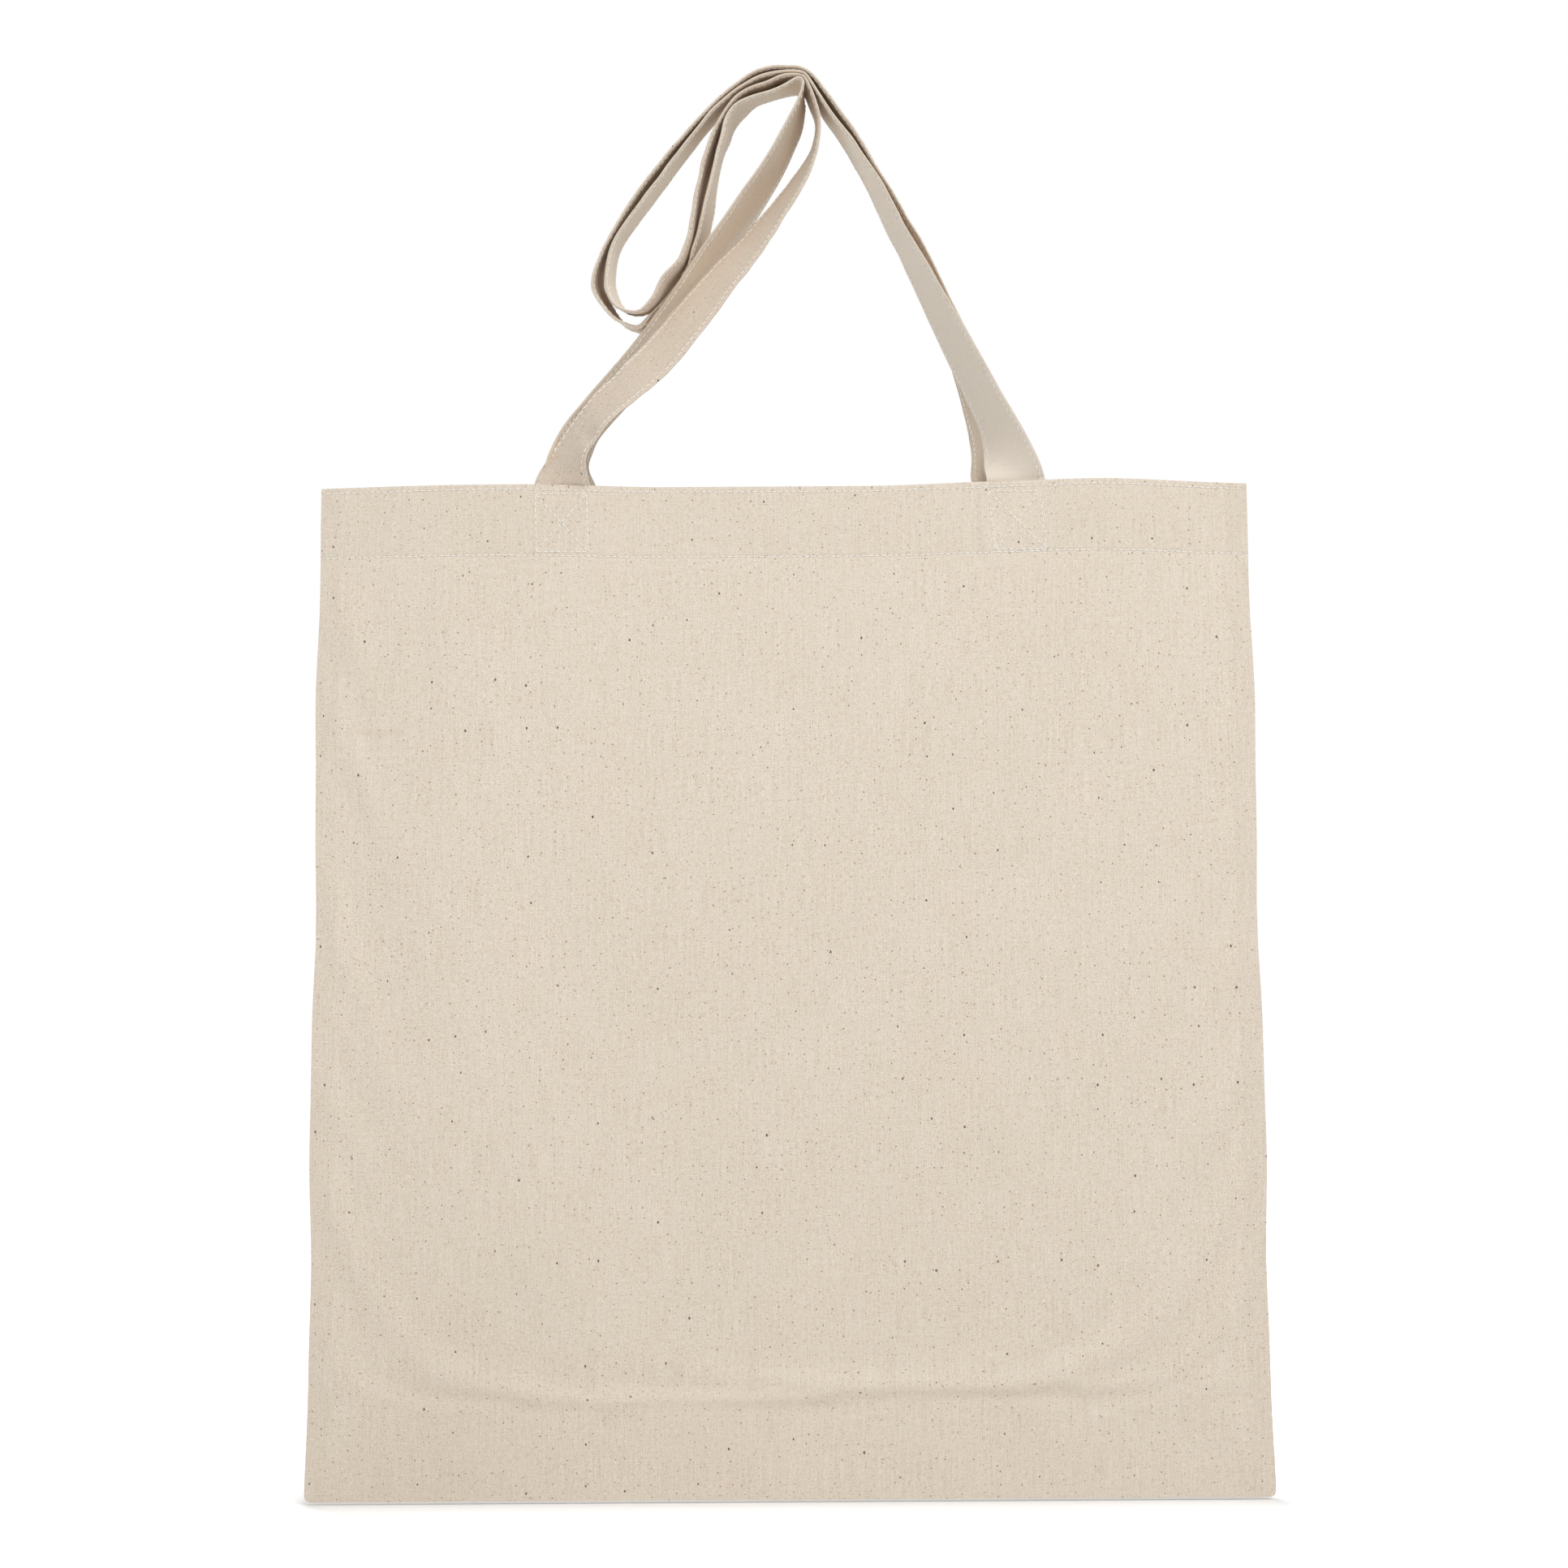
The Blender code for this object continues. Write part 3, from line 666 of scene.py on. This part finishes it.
bead_shape = bmesh.new()
bmesh.ops.create_uvsphere(bead_shape, u_segments=6, v_segments=6, radius=1.0)
dive_layer = bead_shape.verts.layers.float.new("dive")
ply_layer = bead_shape.verts.layers.float.new("ply")
for vert in bead_shape.verts:
    vert[dive_layer] = abs(vert.co.z)
    vert[ply_layer] = vert.co.z * 2.2 + vert.co.x * 0.5
bead = bpy.data.meshes.new("bead")
bead_shape.to_mesh(bead)
bead_shape.free()


def sew(name, places):
    """A piece of many stitches. Each place is (middle, direction, outward, length)."""
    shape = bmesh.new()
    for middle, direction, outward, length in places:
        side_on = direction.cross(outward).normalized()
        axes = Matrix((side_on, outward, direction)).transposed().to_4x4()
        size = Matrix.Diagonal((THREAD_RADIUS, THREAD_RADIUS * 0.8, length * 0.50, 1.0))
        stitch = bead.copy()
        stitch.transform(Matrix.Translation(middle) @ axes @ size)
        shape.from_mesh(stitch)
        bpy.data.meshes.remove(stitch)
    mesh = bpy.data.meshes.new(name)
    shape.to_mesh(mesh)
    shape.free()
    mesh.shade_smooth()
    mesh.materials.append(thread_material)
    piece = bpy.data.objects.new(name, mesh)
    bpy.context.scene.collection.objects.link(piece)
    return piece


def on_cloth(skin, side, x, z):
    """The outer face of a side at x and z: its place and its outward direction."""
    found = skin.ray_cast(Vector((x, side * 0.05, z)), Vector((0.0, -side, 0.0)))
    if found[0] is None:
        return Vector((x, side * lie(x, z), z)), Vector((0.0, side, 0.0))
    normal = found[1] if found[1].y * side > 0 else -found[1]
    return found[0], normal


def stitches_between(skin, side, points, jitter):
    """Stitches on the cloth along straight runs from point to point, each point an (x, z)."""
    places = []
    for (ax, az), (bx, bz) in zip(points, points[1:]):
        run = math.hypot(bx - ax, bz - az)
        count = max(round(run / STITCH), 1)
        for i in range(count):
            share = (i + 0.5) / count
            x = ax + (bx - ax) * share + jitter.uniform(-1, 1) * 0.00008
            z = az + (bz - az) * share + jitter.uniform(-1, 1) * 0.00010
            middle, outward = on_cloth(skin, side, x, z)
            along = Vector((bx - ax, 0.0, bz - az)).normalized()
            along = (along - outward * along.dot(outward)).normalized()
            tilt = Matrix.Rotation(jitter.uniform(-0.09, 0.09), 3, outward)
            places.append((middle + outward * THREAD_RADIUS * 0.35, tilt @ along, outward, run / count))
    return places


# --------------------------------------------------------------------------------------------------
# The two rows of stitches round the mouth: one holds the turned hem down along its inner edge, and one
# runs just under the mouth's edge. Both waver a little, as hand-guided rows do.
ROW_MARGIN = 0.0022
ROW_POINTS = 24
ROW_WAVER = 0.00025
for side, side_name, skin in ((-1, "front", front_skin), (1, "back", back_skin)):
    for row_name, drop in (("hem", HEM_STITCH_DROP), ("edge", EDGE_STITCH_DROP)):
        jitter = random.Random(40 + side + drop * 1000)
        reach = half_width - ROW_MARGIN
        points = []
        for i in range(ROW_POINTS + 1):
            x = centre_x - reach + 2 * reach * i / ROW_POINTS
            rise = edge_rise(x) * (1.0 if row_name == "edge" else 0.8)
            waver = ROW_WAVER * noise.noise(Vector((x * 20.0, drop * 90.0, side)))
            points.append((x, mouth_z - drop + rise + waver))
        places = stitches_between(skin, side, points, jitter)
        if side > 0:
            row = sew(f"{side_name}_{row_name}_stitches", places)
            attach(row, "back_side")
            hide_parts(f"{side_name}_{row_name}_stitching")
        else:
            for left in (True, False):
                mine = [p for p in places if (p[0].x < centre_x) == left]
                end_name = "left" if left else "right"
                row = sew(f"{side_name}_{row_name}_stitches_{end_name}", mine)
                open_with_mouth(row, left)
                if left:
                    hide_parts(f"{side_name}_{row_name}_stitching")

# --------------------------------------------------------------------------------------------------
# The box stitching: a rectangle with a cross in it, sewn through the hem and the end of the handle
# behind it. Each leans a little its own way.
BOX_LEAN = {
    ("front", "left"): 0.0002,
    ("front", "right"): 0.0012,
    ("back", "left"): 0.0,
    ("back", "right"): -0.0006,
}
for side, side_name, skin in ((-1, "front", front_skin), (1, "back", back_skin)):
    for end_name in ("left", "right"):
        low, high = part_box(f"{side_name}_{end_name}_box_stitching")
        lean = BOX_LEAN[(side_name, end_name)]
        top_left, top_right = (low.x - lean, high.z), (high.x - lean, high.z)
        low_left, low_right = (low.x + lean, low.z), (high.x + lean, low.z)
        jitter = random.Random(60 + side + len(end_name))
        path = [top_left, low_left, low_right, top_right, top_left, low_right]
        places = stitches_between(skin, side, path, jitter)
        places += stitches_between(skin, side, [top_right, low_left], jitter)
        box_piece = sew(f"{side_name}_{end_name}_box_stitches", places)
        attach(box_piece, "front_side" if side < 0 else "back_side")
        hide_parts(f"{side_name}_{end_name}_box_stitching")

# --------------------------------------------------------------------------------------------------
# The handles: each a strip of the same canvas folded lengthwise in four and stitched down both edges.
# Each is sewn inside the hem at both ends, and between them it is wound twice over the peg, the front
# handle's turns inside the back handle's.
STRAP_WIDTH = 0.024
STRAP_THICKNESS = 0.0011
STRAP_STEP = 0.0016
EDGE_ROW = 0.0019
REVERSE_FACE = 0.04
SWAY = 0.00022
DIMPLE = 0.00014
FACE_FLUTTER = 0.00040
EDGE_FLUTTER = 0.00045
BASE_START = 0.002
BASE_BLEND = 0.016
NEST_REACH = 0.016
# Painted shade and light on the handles: tan between the turns, a darker front handle with a paler reverse,
# and a browner back reverse.
NESTED_SHADE_TAN = (0.65, 0.485, 0.34, 1.0)
PINK_TONE_AND_SHADE = (0.50, 0.34, 0.22, 1.0)
REVERSE_SHADE_TAN = (0.58, 0.475, 0.365, 1.0)
# Each dent's place along and across the strap, its depth and its reach.
FRONT_DENTS = (
    (0.052, -0.0065, 0.0017, 0.0045),
    (0.044, 0.0010, 0.0008, 0.0050),
    (0.066, -0.0030, 0.0006, 0.0050),
)
BACK_DENTS = ((0.050, 0.0060, 0.0012, 0.0050),)

# Stations in millimetres from the peg: x, depth, z, and the share of the strap's width that lies along
# x and along z. The rest of the width lies along the depth.
FRONT_WINDING = (
    (-94.6, -7.5, -155.6, -0.60, 0.30),
    (-84.2, -10.0, -141.0, -0.44, 0.50),
    (-72.2, -9.0, -129.0, -0.44, 0.60),
    (-58.6, -6.5, -115.3, -0.47, 0.63),
    (-43.6, -5.0, -96.6, -0.46, 0.60),
    (-31.4, -4.0, -81.0, -0.40, 0.57),
    (-20.2, -3.0, -67.7, -0.32, 0.52),
    (-9.2, -2.0, -52.5, -0.24, 0.46),
    (0.5, -1.0, -37.7, -0.16, 0.42),
    (5.9, 0.0, -26.5, -0.09, 0.32),
    (7.8, 0.0, -14.8, -0.04, 0.22),
    (5.6, 0.0, -5.6, -0.05, 0.16),
    (3.7, 0.0, -0.6, 0.0, 0.06),
    (2.2, 0.0, 2.2, 0.0, 0.05),
    (0.0, 0.0, 3.4, 0.0, 0.05),
    (-3.6, 0.0, 3.7, 0.0, 0.06),
    (-8.5, 0.0, 3.1, 0.0, 0.09),
    (-14.1, 0.0, 0.4, 0.03, 0.10),
    (-21.0, 0.0, -2.0, 0.07, 0.12),
    (-26.8, 0.0, -6.9, 0.10, 0.15),
    (-31.7, 0.0, -14.6, 0.14, 0.16),
    (-37.0, 0.0, -27.4, 0.15, 0.19),
    (-40.4, 0.0, -39.4, 0.13, 0.21),
    (-42.8, 0.0, -52.5, 0.12, 0.21),
    (-44.7, 0.0, -63.7, 0.13, 0.18),
    (-48.5, 0.0, -74.3, 0.15, 0.12),
    (-55.2, 0.0, -83.0, 0.17, 0.10),
    (-60.4, 0.0, -91.0, 0.12, 0.15),
    (-65.6, 0.0, -95.0, 0.01, 0.22),
    (-71.4, 0.0, -94.9, -0.03, 0.25),
    (-76.0, 0.0, -91.6, 0.06, 0.29),
    (-78.7, 0.0, -84.8, 0.10, 0.30),
    (-78.9, 0.0, -79.0, 0.10, 0.27),
    (-77.4, 0.0, -69.7, 0.09, 0.23),
    (-73.8, 0.0, -62.0, 0.10, 0.21),
    (-66.8, 0.0, -52.2, 0.11, 0.21),
    (-54.0, 0.0, -34.5, 0.10, 0.21),
    (-42.8, 0.0, -19.5, 0.10, 0.22),
    (-35.2, 0.0, -10.2, 0.10, 0.20),
    (-27.2, 0.0, -3.0, 0.08, 0.18),
    (-20.0, 0.0, 2.0, 0.05, 0.15),
    (-14.4, 0.0, 4.1, 0.02, 0.12),
    (-8.0, 0.0, 5.2, 0.0, 0.10),
    (-0.4, 0.0, 5.0, 0.0, 0.08),
    (3.2, 0.0, 3.2, 0.0, 0.08),
    (7.6, 0.0, -3.8, -0.06, 0.18),
    (13.2, 0.0, -12.8, -0.11, 0.23),
    (19.4, 0.0, -21.2, -0.13, 0.22),
    (24.3, 0.0, -29.5, -0.16, 0.21),
    (31.3, -0.5, -41.7, -0.22, 0.20),
    (39.2, -1.5, -59.3, -0.27, 0.21),
    (46.9, -2.5, -74.5, -0.31, 0.17),
    (56.8, -3.5, -95.1, -0.40, 0.12),
    (65.7, -4.5, -113.7, -0.46, 0.07),
    (74.7, -5.5, -132.5, -0.54, 0.09),
    (82.6, -5.5, -149.0, -0.68, 0.10),
)
BACK_WINDING = (
    (-96.6, 8.0, -155.6, 0.62, -0.06),
    (-92.6, 12.5, -144.0, 0.50, -0.10),
    (-85.7, 14.0, -134.5, 0.45, -0.14),
    (-77.0, 14.0, -124.5, 0.48, -0.15),
    (-67.2, 12.5, -114.4, 0.56, -0.13),
    (-59.3, 11.5, -104.6, 0.54, -0.15),
    (-46.2, 8.0, -86.2, 0.46, -0.14),
    (-39.8, 6.5, -76.4, 0.44, -0.12),
    (-32.4, 4.5, -65.1, 0.41, -0.04),
    (-24.4, 3.0, -53.2, 0.39, 0.01),
    (-17.0, 1.5, -42.2, 0.36, 0.03),
    (-9.3, 0.0, -30.2, 0.33, 0.10),
    (-2.7, 0.0, -16.5, 0.26, 0.14),
    (0.9, 0.0, -6.2, 0.12, 0.14),
    (1.5, 0.0, -1.2, 0.0, 0.06),
    (1.2, 0.0, 1.2, 0.0, 0.05),
    (-0.8, 0.0, 1.9, 0.0, 0.05),
    (-5.2, 0.0, 0.6, 0.0, 0.14),
    (-12.8, 0.0, -2.4, 0.02, 0.20),
    (-19.4, 0.0, -4.7, 0.07, 0.18),
    (-25.2, 0.0, -8.6, 0.12, 0.12),
    (-28.8, 0.0, -14.0, 0.14, 0.14),
    (-31.0, 0.5, -20.5, 0.12, 0.22),
    (-33.2, 1.0, -26.8, 0.10, 0.28),
    (-35.2, 2.0, -35.0, 0.09, 0.29),
    (-37.8, 3.0, -47.9, 0.15, 0.25),
    (-40.2, 5.5, -59.0, 0.17, 0.21),
    (-44.2, 9.0, -74.6, 0.22, 0.12),
    (-48.6, 12.0, -84.2, 0.34, 0.02),
    (-58.4, 12.5, -95.4, 0.34, 0.0),
    (-65.8, 8.0, -99.9, 0.10, 0.16),
    (-71.9, 3.5, -99.8, -0.04, 0.22),
    (-77.4, 1.0, -96.0, 0.06, 0.26),
    (-82.5, 0.0, -88.6, 0.14, 0.26),
    (-84.2, 0.0, -82.0, 0.13, 0.26),
    (-81.8, 0.0, -72.3, 0.10, 0.24),
    (-74.9, 0.0, -59.1, 0.11, 0.22),
    (-65.5, 0.0, -44.3, 0.12, 0.22),
    (-54.6, 0.0, -30.0, 0.11, 0.21),
    (-43.7, 0.0, -16.7, 0.10, 0.22),
    (-31.6, 0.0, -4.2, 0.09, 0.19),
    (-20.0, 0.0, 4.6, 0.04, 0.15),
    (-12.6, 0.0, 7.3, 0.01, 0.12),
    (-5.1, 0.0, 7.3, 0.0, 0.10),
    (0.8, 0.0, 6.7, 0.0, 0.09),
    (5.3, 0.0, 4.2, -0.02, 0.12),
    (9.6, 0.0, -1.4, -0.06, 0.18),
    (16.8, 0.0, -12.2, -0.11, 0.21),
    (24.6, 0.0, -24.6, -0.14, 0.21),
    (29.2, 1.0, -33.2, -0.15, 0.20),
    (35.4, 2.0, -44.0, -0.19, 0.19),
    (43.0, 3.5, -58.4, -0.24, 0.17),
    (48.8, 5.0, -68.9, -0.26, 0.15),
    (57.0, 7.5, -86.7, -0.30, 0.13),
    (63.2, 9.5, -100.5, -0.36, 0.13),
    (70.0, 10.5, -118.5, -0.46, 0.11),
    (76.6, 9.0, -137.0, -0.66, 0.12),
    (80.8, 6.6, -152.0, -0.84, 0.09),
)


def catmull_rom(before, start, end, after, share):
    """A station on the smooth curve from start to end."""
    square, cube = share * share, share * share * share
    return 0.5 * (
        2 * start
        + (end - before) * share
        + (2 * before - 5 * start + 4 * end - after) * square
        + (3 * start - before - 3 * end + after) * cube
    )


def strap_places(winding, side, end_nodes):
    """Matrices about STRAP_STEP apart along a handle: x across it, y out of its face, z along it."""
    (left_low, left_high), (right_low, right_high) = (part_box(node) for node in end_nodes)
    depth = (left_low.y + left_high.y) / 2 * 1000
    left_x = (left_low.x + left_high.x) / 2 * 1000
    right_x = (right_low.x + right_high.x) / 2 * 1000
    lean = math.copysign(1.0, winding[0][3])
    low, mouth = left_low.z * 1000, mouth_z * 1000
    start = [(left_x, depth, low + rise, lean, 0.0) for rise in (0.0, 9.0, 18.0)]
    start.append((left_x + 0.1, depth, mouth - 1.0, lean * 0.998, 0.0))
    start.append((left_x + 0.7, depth + side * 0.5, mouth + 4.5, lean * 0.88, winding[0][4] * 0.5))
    stop = [(right_x - 0.9, depth, mouth + 5.5, -0.985, 0.03)]
    stop.append((right_x, depth, mouth - 1.0, -0.999, 0.0))
    stop += [(right_x, depth, low + rise, -1.0, 0.0) for rise in (18.0, 9.0, 0.0)]
    stations = [Vector(point) for point in (*start, *winding, *stop)]
    first, last = 2 * stations[0] - stations[1], 2 * stations[-1] - stations[-2]
    padded = [first, *stations, last]
    rail = []
    for i in range(1, len(stations)):
        gap = (Vector(padded[i][:3]) - Vector(padded[i + 1][:3])).length / 1000
        steps = max(round(gap / STRAP_STEP), 2)
        rail += [catmull_rom(*padded[i - 1 : i + 3], step / steps) for step in range(steps)]
    rail.append(stations[-1])
    middles = [Vector(point[:3]) / 1000 for point in rail]
    places = []
    for i, point in enumerate(rail):
        lean_x, lean_z = point[3], point[4]
        across = Vector((lean_x, math.sqrt(max(1 - lean_x**2 - lean_z**2, 0.0)), lean_z)).normalized()
        ahead = middles[min(i + 1, len(rail) - 1)] - middles[max(i - 1, 0)]
        ahead = (ahead - across * ahead.dot(across)).normalized()
        face = ahead.cross(across)
        turned = Matrix((across, face, ahead)).transposed().to_4x4()
        places.append(Matrix.Translation(middles[i]) @ turned)
    return places


def strap_outline():
    """The strap's section: rounded folds, a slight cup between the stitch rows, and one edge open."""
    half, thick = STRAP_WIDTH / 2, STRAP_THICKNESS / 2
    upper = [
        (-half, 0.00),
        (-half + 0.0001, 0.55),
        (-half + 0.0004, 0.92),
        (-half + 0.0010, 1.04),
        (-half + EDGE_ROW, 0.86),
        (-half + EDGE_ROW + 0.0012, 1.00),
        (-half * 0.45, 1.03),
        (0.0, 1.0),
        (half * 0.45, 1.03),
        (half - EDGE_ROW - 0.0012, 1.00),
        (half - EDGE_ROW, 0.86),
        (half - 0.0010, 1.04),
        (half - 0.0004, 0.92),
        (half - 0.00005, 0.52),
    ]
    groove = [(half - 0.00035, 0.10), (half - 0.00055, 0.0), (half - 0.00035, -0.10)]
    lower = [(across, -rise) for across, rise in reversed(upper[1:])]
    return [Vector((across, rise * thick, 0.0)) for across, rise in (*upper, *groove, *lower)]


def sweep_strap(name, places, seed, dents):
    """Draws the section out along the handle, then flutters and dents its cloth."""
    shape = bmesh.new()
    run_layer = shape.verts.layers.float.new("along")
    over_layer = shape.verts.layers.float.new("across")
    bend_layer = shape.verts.layers.float.new("bend")
    outline = strap_outline()
    ring = [shape.verts.new(places[0] @ point) for point in outline]
    for vert, point in zip(ring, outline):
        vert[over_layer] = point.x + (REVERSE_FACE if point.y < 0 else 0.0)
    edges = [shape.edges.new((a, b)) for a, b in zip(ring, ring[1:] + ring[:1])]
    run = 0.0
    rings = [(ring, places[0], run)]
    for before, place in zip(places, places[1:]):
        grown = bmesh.ops.extrude_edge_only(shape, edges=edges)["geom"]
        verts = [item for item in grown if isinstance(item, bmesh.types.BMVert)]
        fresh = set(verts)
        edges = [e for e in grown if isinstance(e, bmesh.types.BMEdge) and set(e.verts) <= fresh]
        bmesh.ops.transform(shape, matrix=place @ before.inverted(), verts=verts)
        run += (place.translation - before.translation).length
        turn = before.to_3x3().col[2].angle(place.to_3x3().col[2]) / STRAP_STEP
        for vert in verts:
            vert[run_layer] = run
            vert[bend_layer] = min(turn / 90.0, 1.0)
        rings.append((verts, place, run))
    for end in (rings[0][0], rings[-1][0]):
        rim = set(end)
        loose = [edge for edge in shape.edges if edge.is_boundary and set(edge.verts) <= rim]
        bmesh.ops.contextual_create(shape, geom=loose)

    for verts, place, along in rings:
        face, sideways = place.to_3x3().col[1], place.to_3x3().col[0]
        sway = noise.noise(Vector((along * 45.0, seed, 0.0))) * SWAY
        for vert in verts:
            across = vert[over_layer] - (REVERSE_FACE if vert[over_layer] > STRAP_WIDTH else 0.0)
            outward = across / (STRAP_WIDTH / 2)
            dimple = noise.noise(Vector((along * 70.0, across * 120.0, seed))) * DIMPLE
            flutter = noise.noise(Vector((along * 110.0, math.copysign(3.0, across), seed))) * outward
            for at, over, depth, reach in dents:
                away = ((along - at) / reach) ** 2 + ((across - over) / (reach * 1.2)) ** 2
                dimple -= depth * math.exp(-away)
            vert.co += face * (dimple + flutter * abs(outward) * FACE_FLUTTER)
            vert.co += sideways * (sway + flutter * EDGE_FLUTTER)
    bmesh.ops.recalc_face_normals(shape, faces=shape.faces)
    mesh = bpy.data.meshes.new(name)
    shape.to_mesh(mesh)
    shape.free()
    mesh.shade_smooth()
    strap = bpy.data.objects.new(name, mesh)
    bpy.context.scene.collection.objects.link(strap)
    return strap, run


def mark_nested(straps):
    """Marks how closely other turns of the straps stand over each point of them, from 0 to 1."""
    graph = bpy.context.evaluated_depsgraph_get()
    turns = [BVHTree.FromObject(strap, graph) for strap in straps]
    for strap in straps:
        nest = strap.data.attributes.new("nest", "FLOAT", "POINT")
        for vert in strap.data.vertices:
            normal = vert.normal
            right = normal.orthogonal().normalized()
            ahead = normal.cross(right)
            looks = (normal, normal + right, normal - right, normal + ahead, normal - ahead)
            covered = 0.0
            for look in looks:
                hits = [turn.ray_cast(vert.co + normal * 0.0004, look, NEST_REACH)[3] for turn in turns]
                nearest = min((hit for hit in hits if hit is not None), default=NEST_REACH)
                covered += 1.0 - nearest / NEST_REACH
            nest.data[vert.index].value = covered / len(looks)


def strap_relief(start, u, v):
    """Creases across the strap where it bends sharply, and its slight unevenness."""
    bend = attribute(start, "bend")
    folds = cloud(joined(u * 60.0, v * 620.0, 4.0), 1.0, 2.0) - 0.5
    ripple = cloud(joined(u * 90.0, v * 150.0, 9.0), 1.0, 2.0) - 0.5
    return bend * folds * 0.0005 + ripple * 0.00012


def painted_nested_shade(start, u, v, colour):
    """Between the turns the strap is painted tan: painted shade, warmed as light bounced off the other cloth
    would warm it.
    """
    return colour.mix(NESTED_SHADE_TAN, attribute(start, "nest") * 0.75)


def on_reverse(u):
    """1 on the strap's reverse, where the cloth's metres across start again from REVERSE_FACE."""
    return band(u, REVERSE_FACE - 0.018, REVERSE_FACE - 0.013)


def front_faces(start, u, v, colour):
    """The front handle is painted pinker and darker, partly its warmer cloth and partly painted shade on its
    outer face, and its reverse is painted paler as painted light.
    """
    pink_shade_and_light = colour.mix(PINK_TONE_AND_SHADE, 0.20).mix(SLUB_PALE, on_reverse(u) * 0.62)
    return painted_nested_shade(start, u, v, pink_shade_and_light)


def back_faces(start, u, v, colour):
    """The back handle's reverse, which faces the light less, is painted browner: painted shade."""
    return painted_nested_shade(start, u, v, colour.mix(REVERSE_SHADE_TAN, on_reverse(u) * 0.50))


handles = []
for side, side_name, winding, dents in (
    (-1, "front", FRONT_WINDING, FRONT_DENTS),
    (1, "back", BACK_WINDING, BACK_DENTS),
):
    end_nodes = (f"{side_name}_handle_left_end", f"{side_name}_handle_right_end")
    places = strap_places(winding, side, end_nodes)
    strap, length = sweep_strap(f"{side_name}_strap", places, 3.0 + side, dents)
    handles.append((side, side_name, end_nodes, places, strap, length))
mark_nested([strap for *_, strap, _ in handles])

for side, side_name, end_nodes, places, strap, length in handles:
    stains_and_shades = (front_faces,) if side < 0 else (back_faces,)
    look = canvas_material(f"{side_name}_strap_canvas", 50.0 + 20.0 * side, (strap_relief,), stains_and_shades)
    strap.data.materials.append(look)
    body_name, handle_name = f"{side_name}_side", f"{side_name}_handle"
    base = (0.0, 0.0, mouth_z + BASE_START)
    top = (0.0, 0.0, mouth_z + BASE_START + BASE_BLEND)
    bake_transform(strap, body_name, handle_name, start=base, end=top)
    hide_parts(handle_name, *end_nodes)

    spots = []
    travelled, waiting = 0.0, STITCH / 2
    for before, place in zip(places, places[1:]):
        step = (place.translation - before.translation).length
        travelled += step
        while waiting < travelled:
            matrix = before.lerp(place, min(max((waiting - travelled + step) / step, 0.0), 1.0))
            if matrix.translation.z > mouth_z - 0.001:
                spots.append(matrix)
            waiting += STITCH

    jitter = random.Random(80 + side)
    skin = BVHTree.FromObject(strap, bpy.context.evaluated_depsgraph_get())
    rows = []
    for matrix in spots:
        axes = matrix.to_3x3()
        across, face, ahead = (axes.col[i].normalized() for i in range(3))
        for edge in (-1, 1):
            for face_side in (-1, 1):
                offset = matrix.translation + across * edge * (STRAP_WIDTH / 2 - EDGE_ROW)
                found = skin.ray_cast(offset + face * face_side * 0.0022, -face * face_side, 0.0040)[0]
                rise = face * face_side * THREAD_RADIUS * 0.3
                middle = (found or offset + face * face_side * STRAP_THICKNESS * 0.43) + rise
                tilt = Matrix.Rotation(jitter.uniform(-0.08, 0.08), 3, face)
                rows.append((middle, tilt @ ahead, face * face_side, STITCH))
    stitching = sew(f"{side_name}_strap_stitches", rows)
    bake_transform(stitching, body_name, handle_name, start=base, end=top)

# --------------------------------------------------------------------------------------------------
# The side seams: the two raw edges of the cloth, sewn together inside out, so that they lie inside the
# bag, and bound with loops of the same thread.
ALLOWANCE_THICKNESS = 0.0010
ALLOWANCE_ROWS = 90
ALLOWANCE_SWAY = 0.0005
ALLOWANCE_SINK = 0.0006
LOOP_STEP = 0.0021
LOOP_LENGTH = 0.0030
LOOP_INSET = 0.0014
LOOP_RISE = 0.00062
for end_name, direction in (("left", -1), ("right", 1)):
    low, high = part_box(f"{end_name}_seam")
    outer = low.x if direction < 0 else high.x
    inner = high.x if direction < 0 else low.x
    shape = bmesh.new()
    bmesh.ops.create_grid(shape, x_segments=4, y_segments=ALLOWANCE_ROWS, size=0.5)
    u_layer = shape.verts.layers.float.new("across")
    v_layer = shape.verts.layers.float.new("along")
    for vert in shape.verts:
        share = vert.co.x + 0.5
        z = low.z + (high.z - 0.0008 - low.z) * (vert.co.y + 0.5)
        x = outer - direction * ALLOWANCE_SINK + (inner - outer) * share
        vert[u_layer], vert[v_layer] = share * 0.008, z
        sway = ALLOWANCE_SWAY * share * noise.noise(Vector((z * 60.0, direction, 0.0)))
        vert.co = Vector((x, sway, z))
    mesh = bpy.data.meshes.new(f"{end_name}_allowance")
    shape.to_mesh(mesh)
    shape.free()
    mesh.materials.append(canvas_material(f"{end_name}_seam_canvas", 90.0 + direction))
    allowance = bpy.data.objects.new(f"{end_name}_allowance", mesh)
    bpy.context.scene.collection.objects.link(allowance)
    finish_cloth(allowance, thickness=ALLOWANCE_THICKNESS, offset=0.0)
    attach(allowance, "back_side")
    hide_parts(f"{end_name}_seam")

    loops = []
    count = round((high.z - low.z) / LOOP_STEP)
    for i in range(count):
        z = low.z + (high.z - low.z) * (i + 0.5) / count
        for face_side in (-1, 1):
            middle = Vector((inner + direction * LOOP_INSET, face_side * LOOP_RISE, z))
            lean = Vector((direction, 0.0, 0.35 * face_side)).normalized()
            loops.append((middle, lean, Vector((0.0, face_side, 0.0)), LOOP_LENGTH))
    binding = sew(f"{end_name}_seam_binding", loops)
    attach(binding, "back_side")
    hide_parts(f"{end_name}_seam_stitching")

low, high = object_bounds()
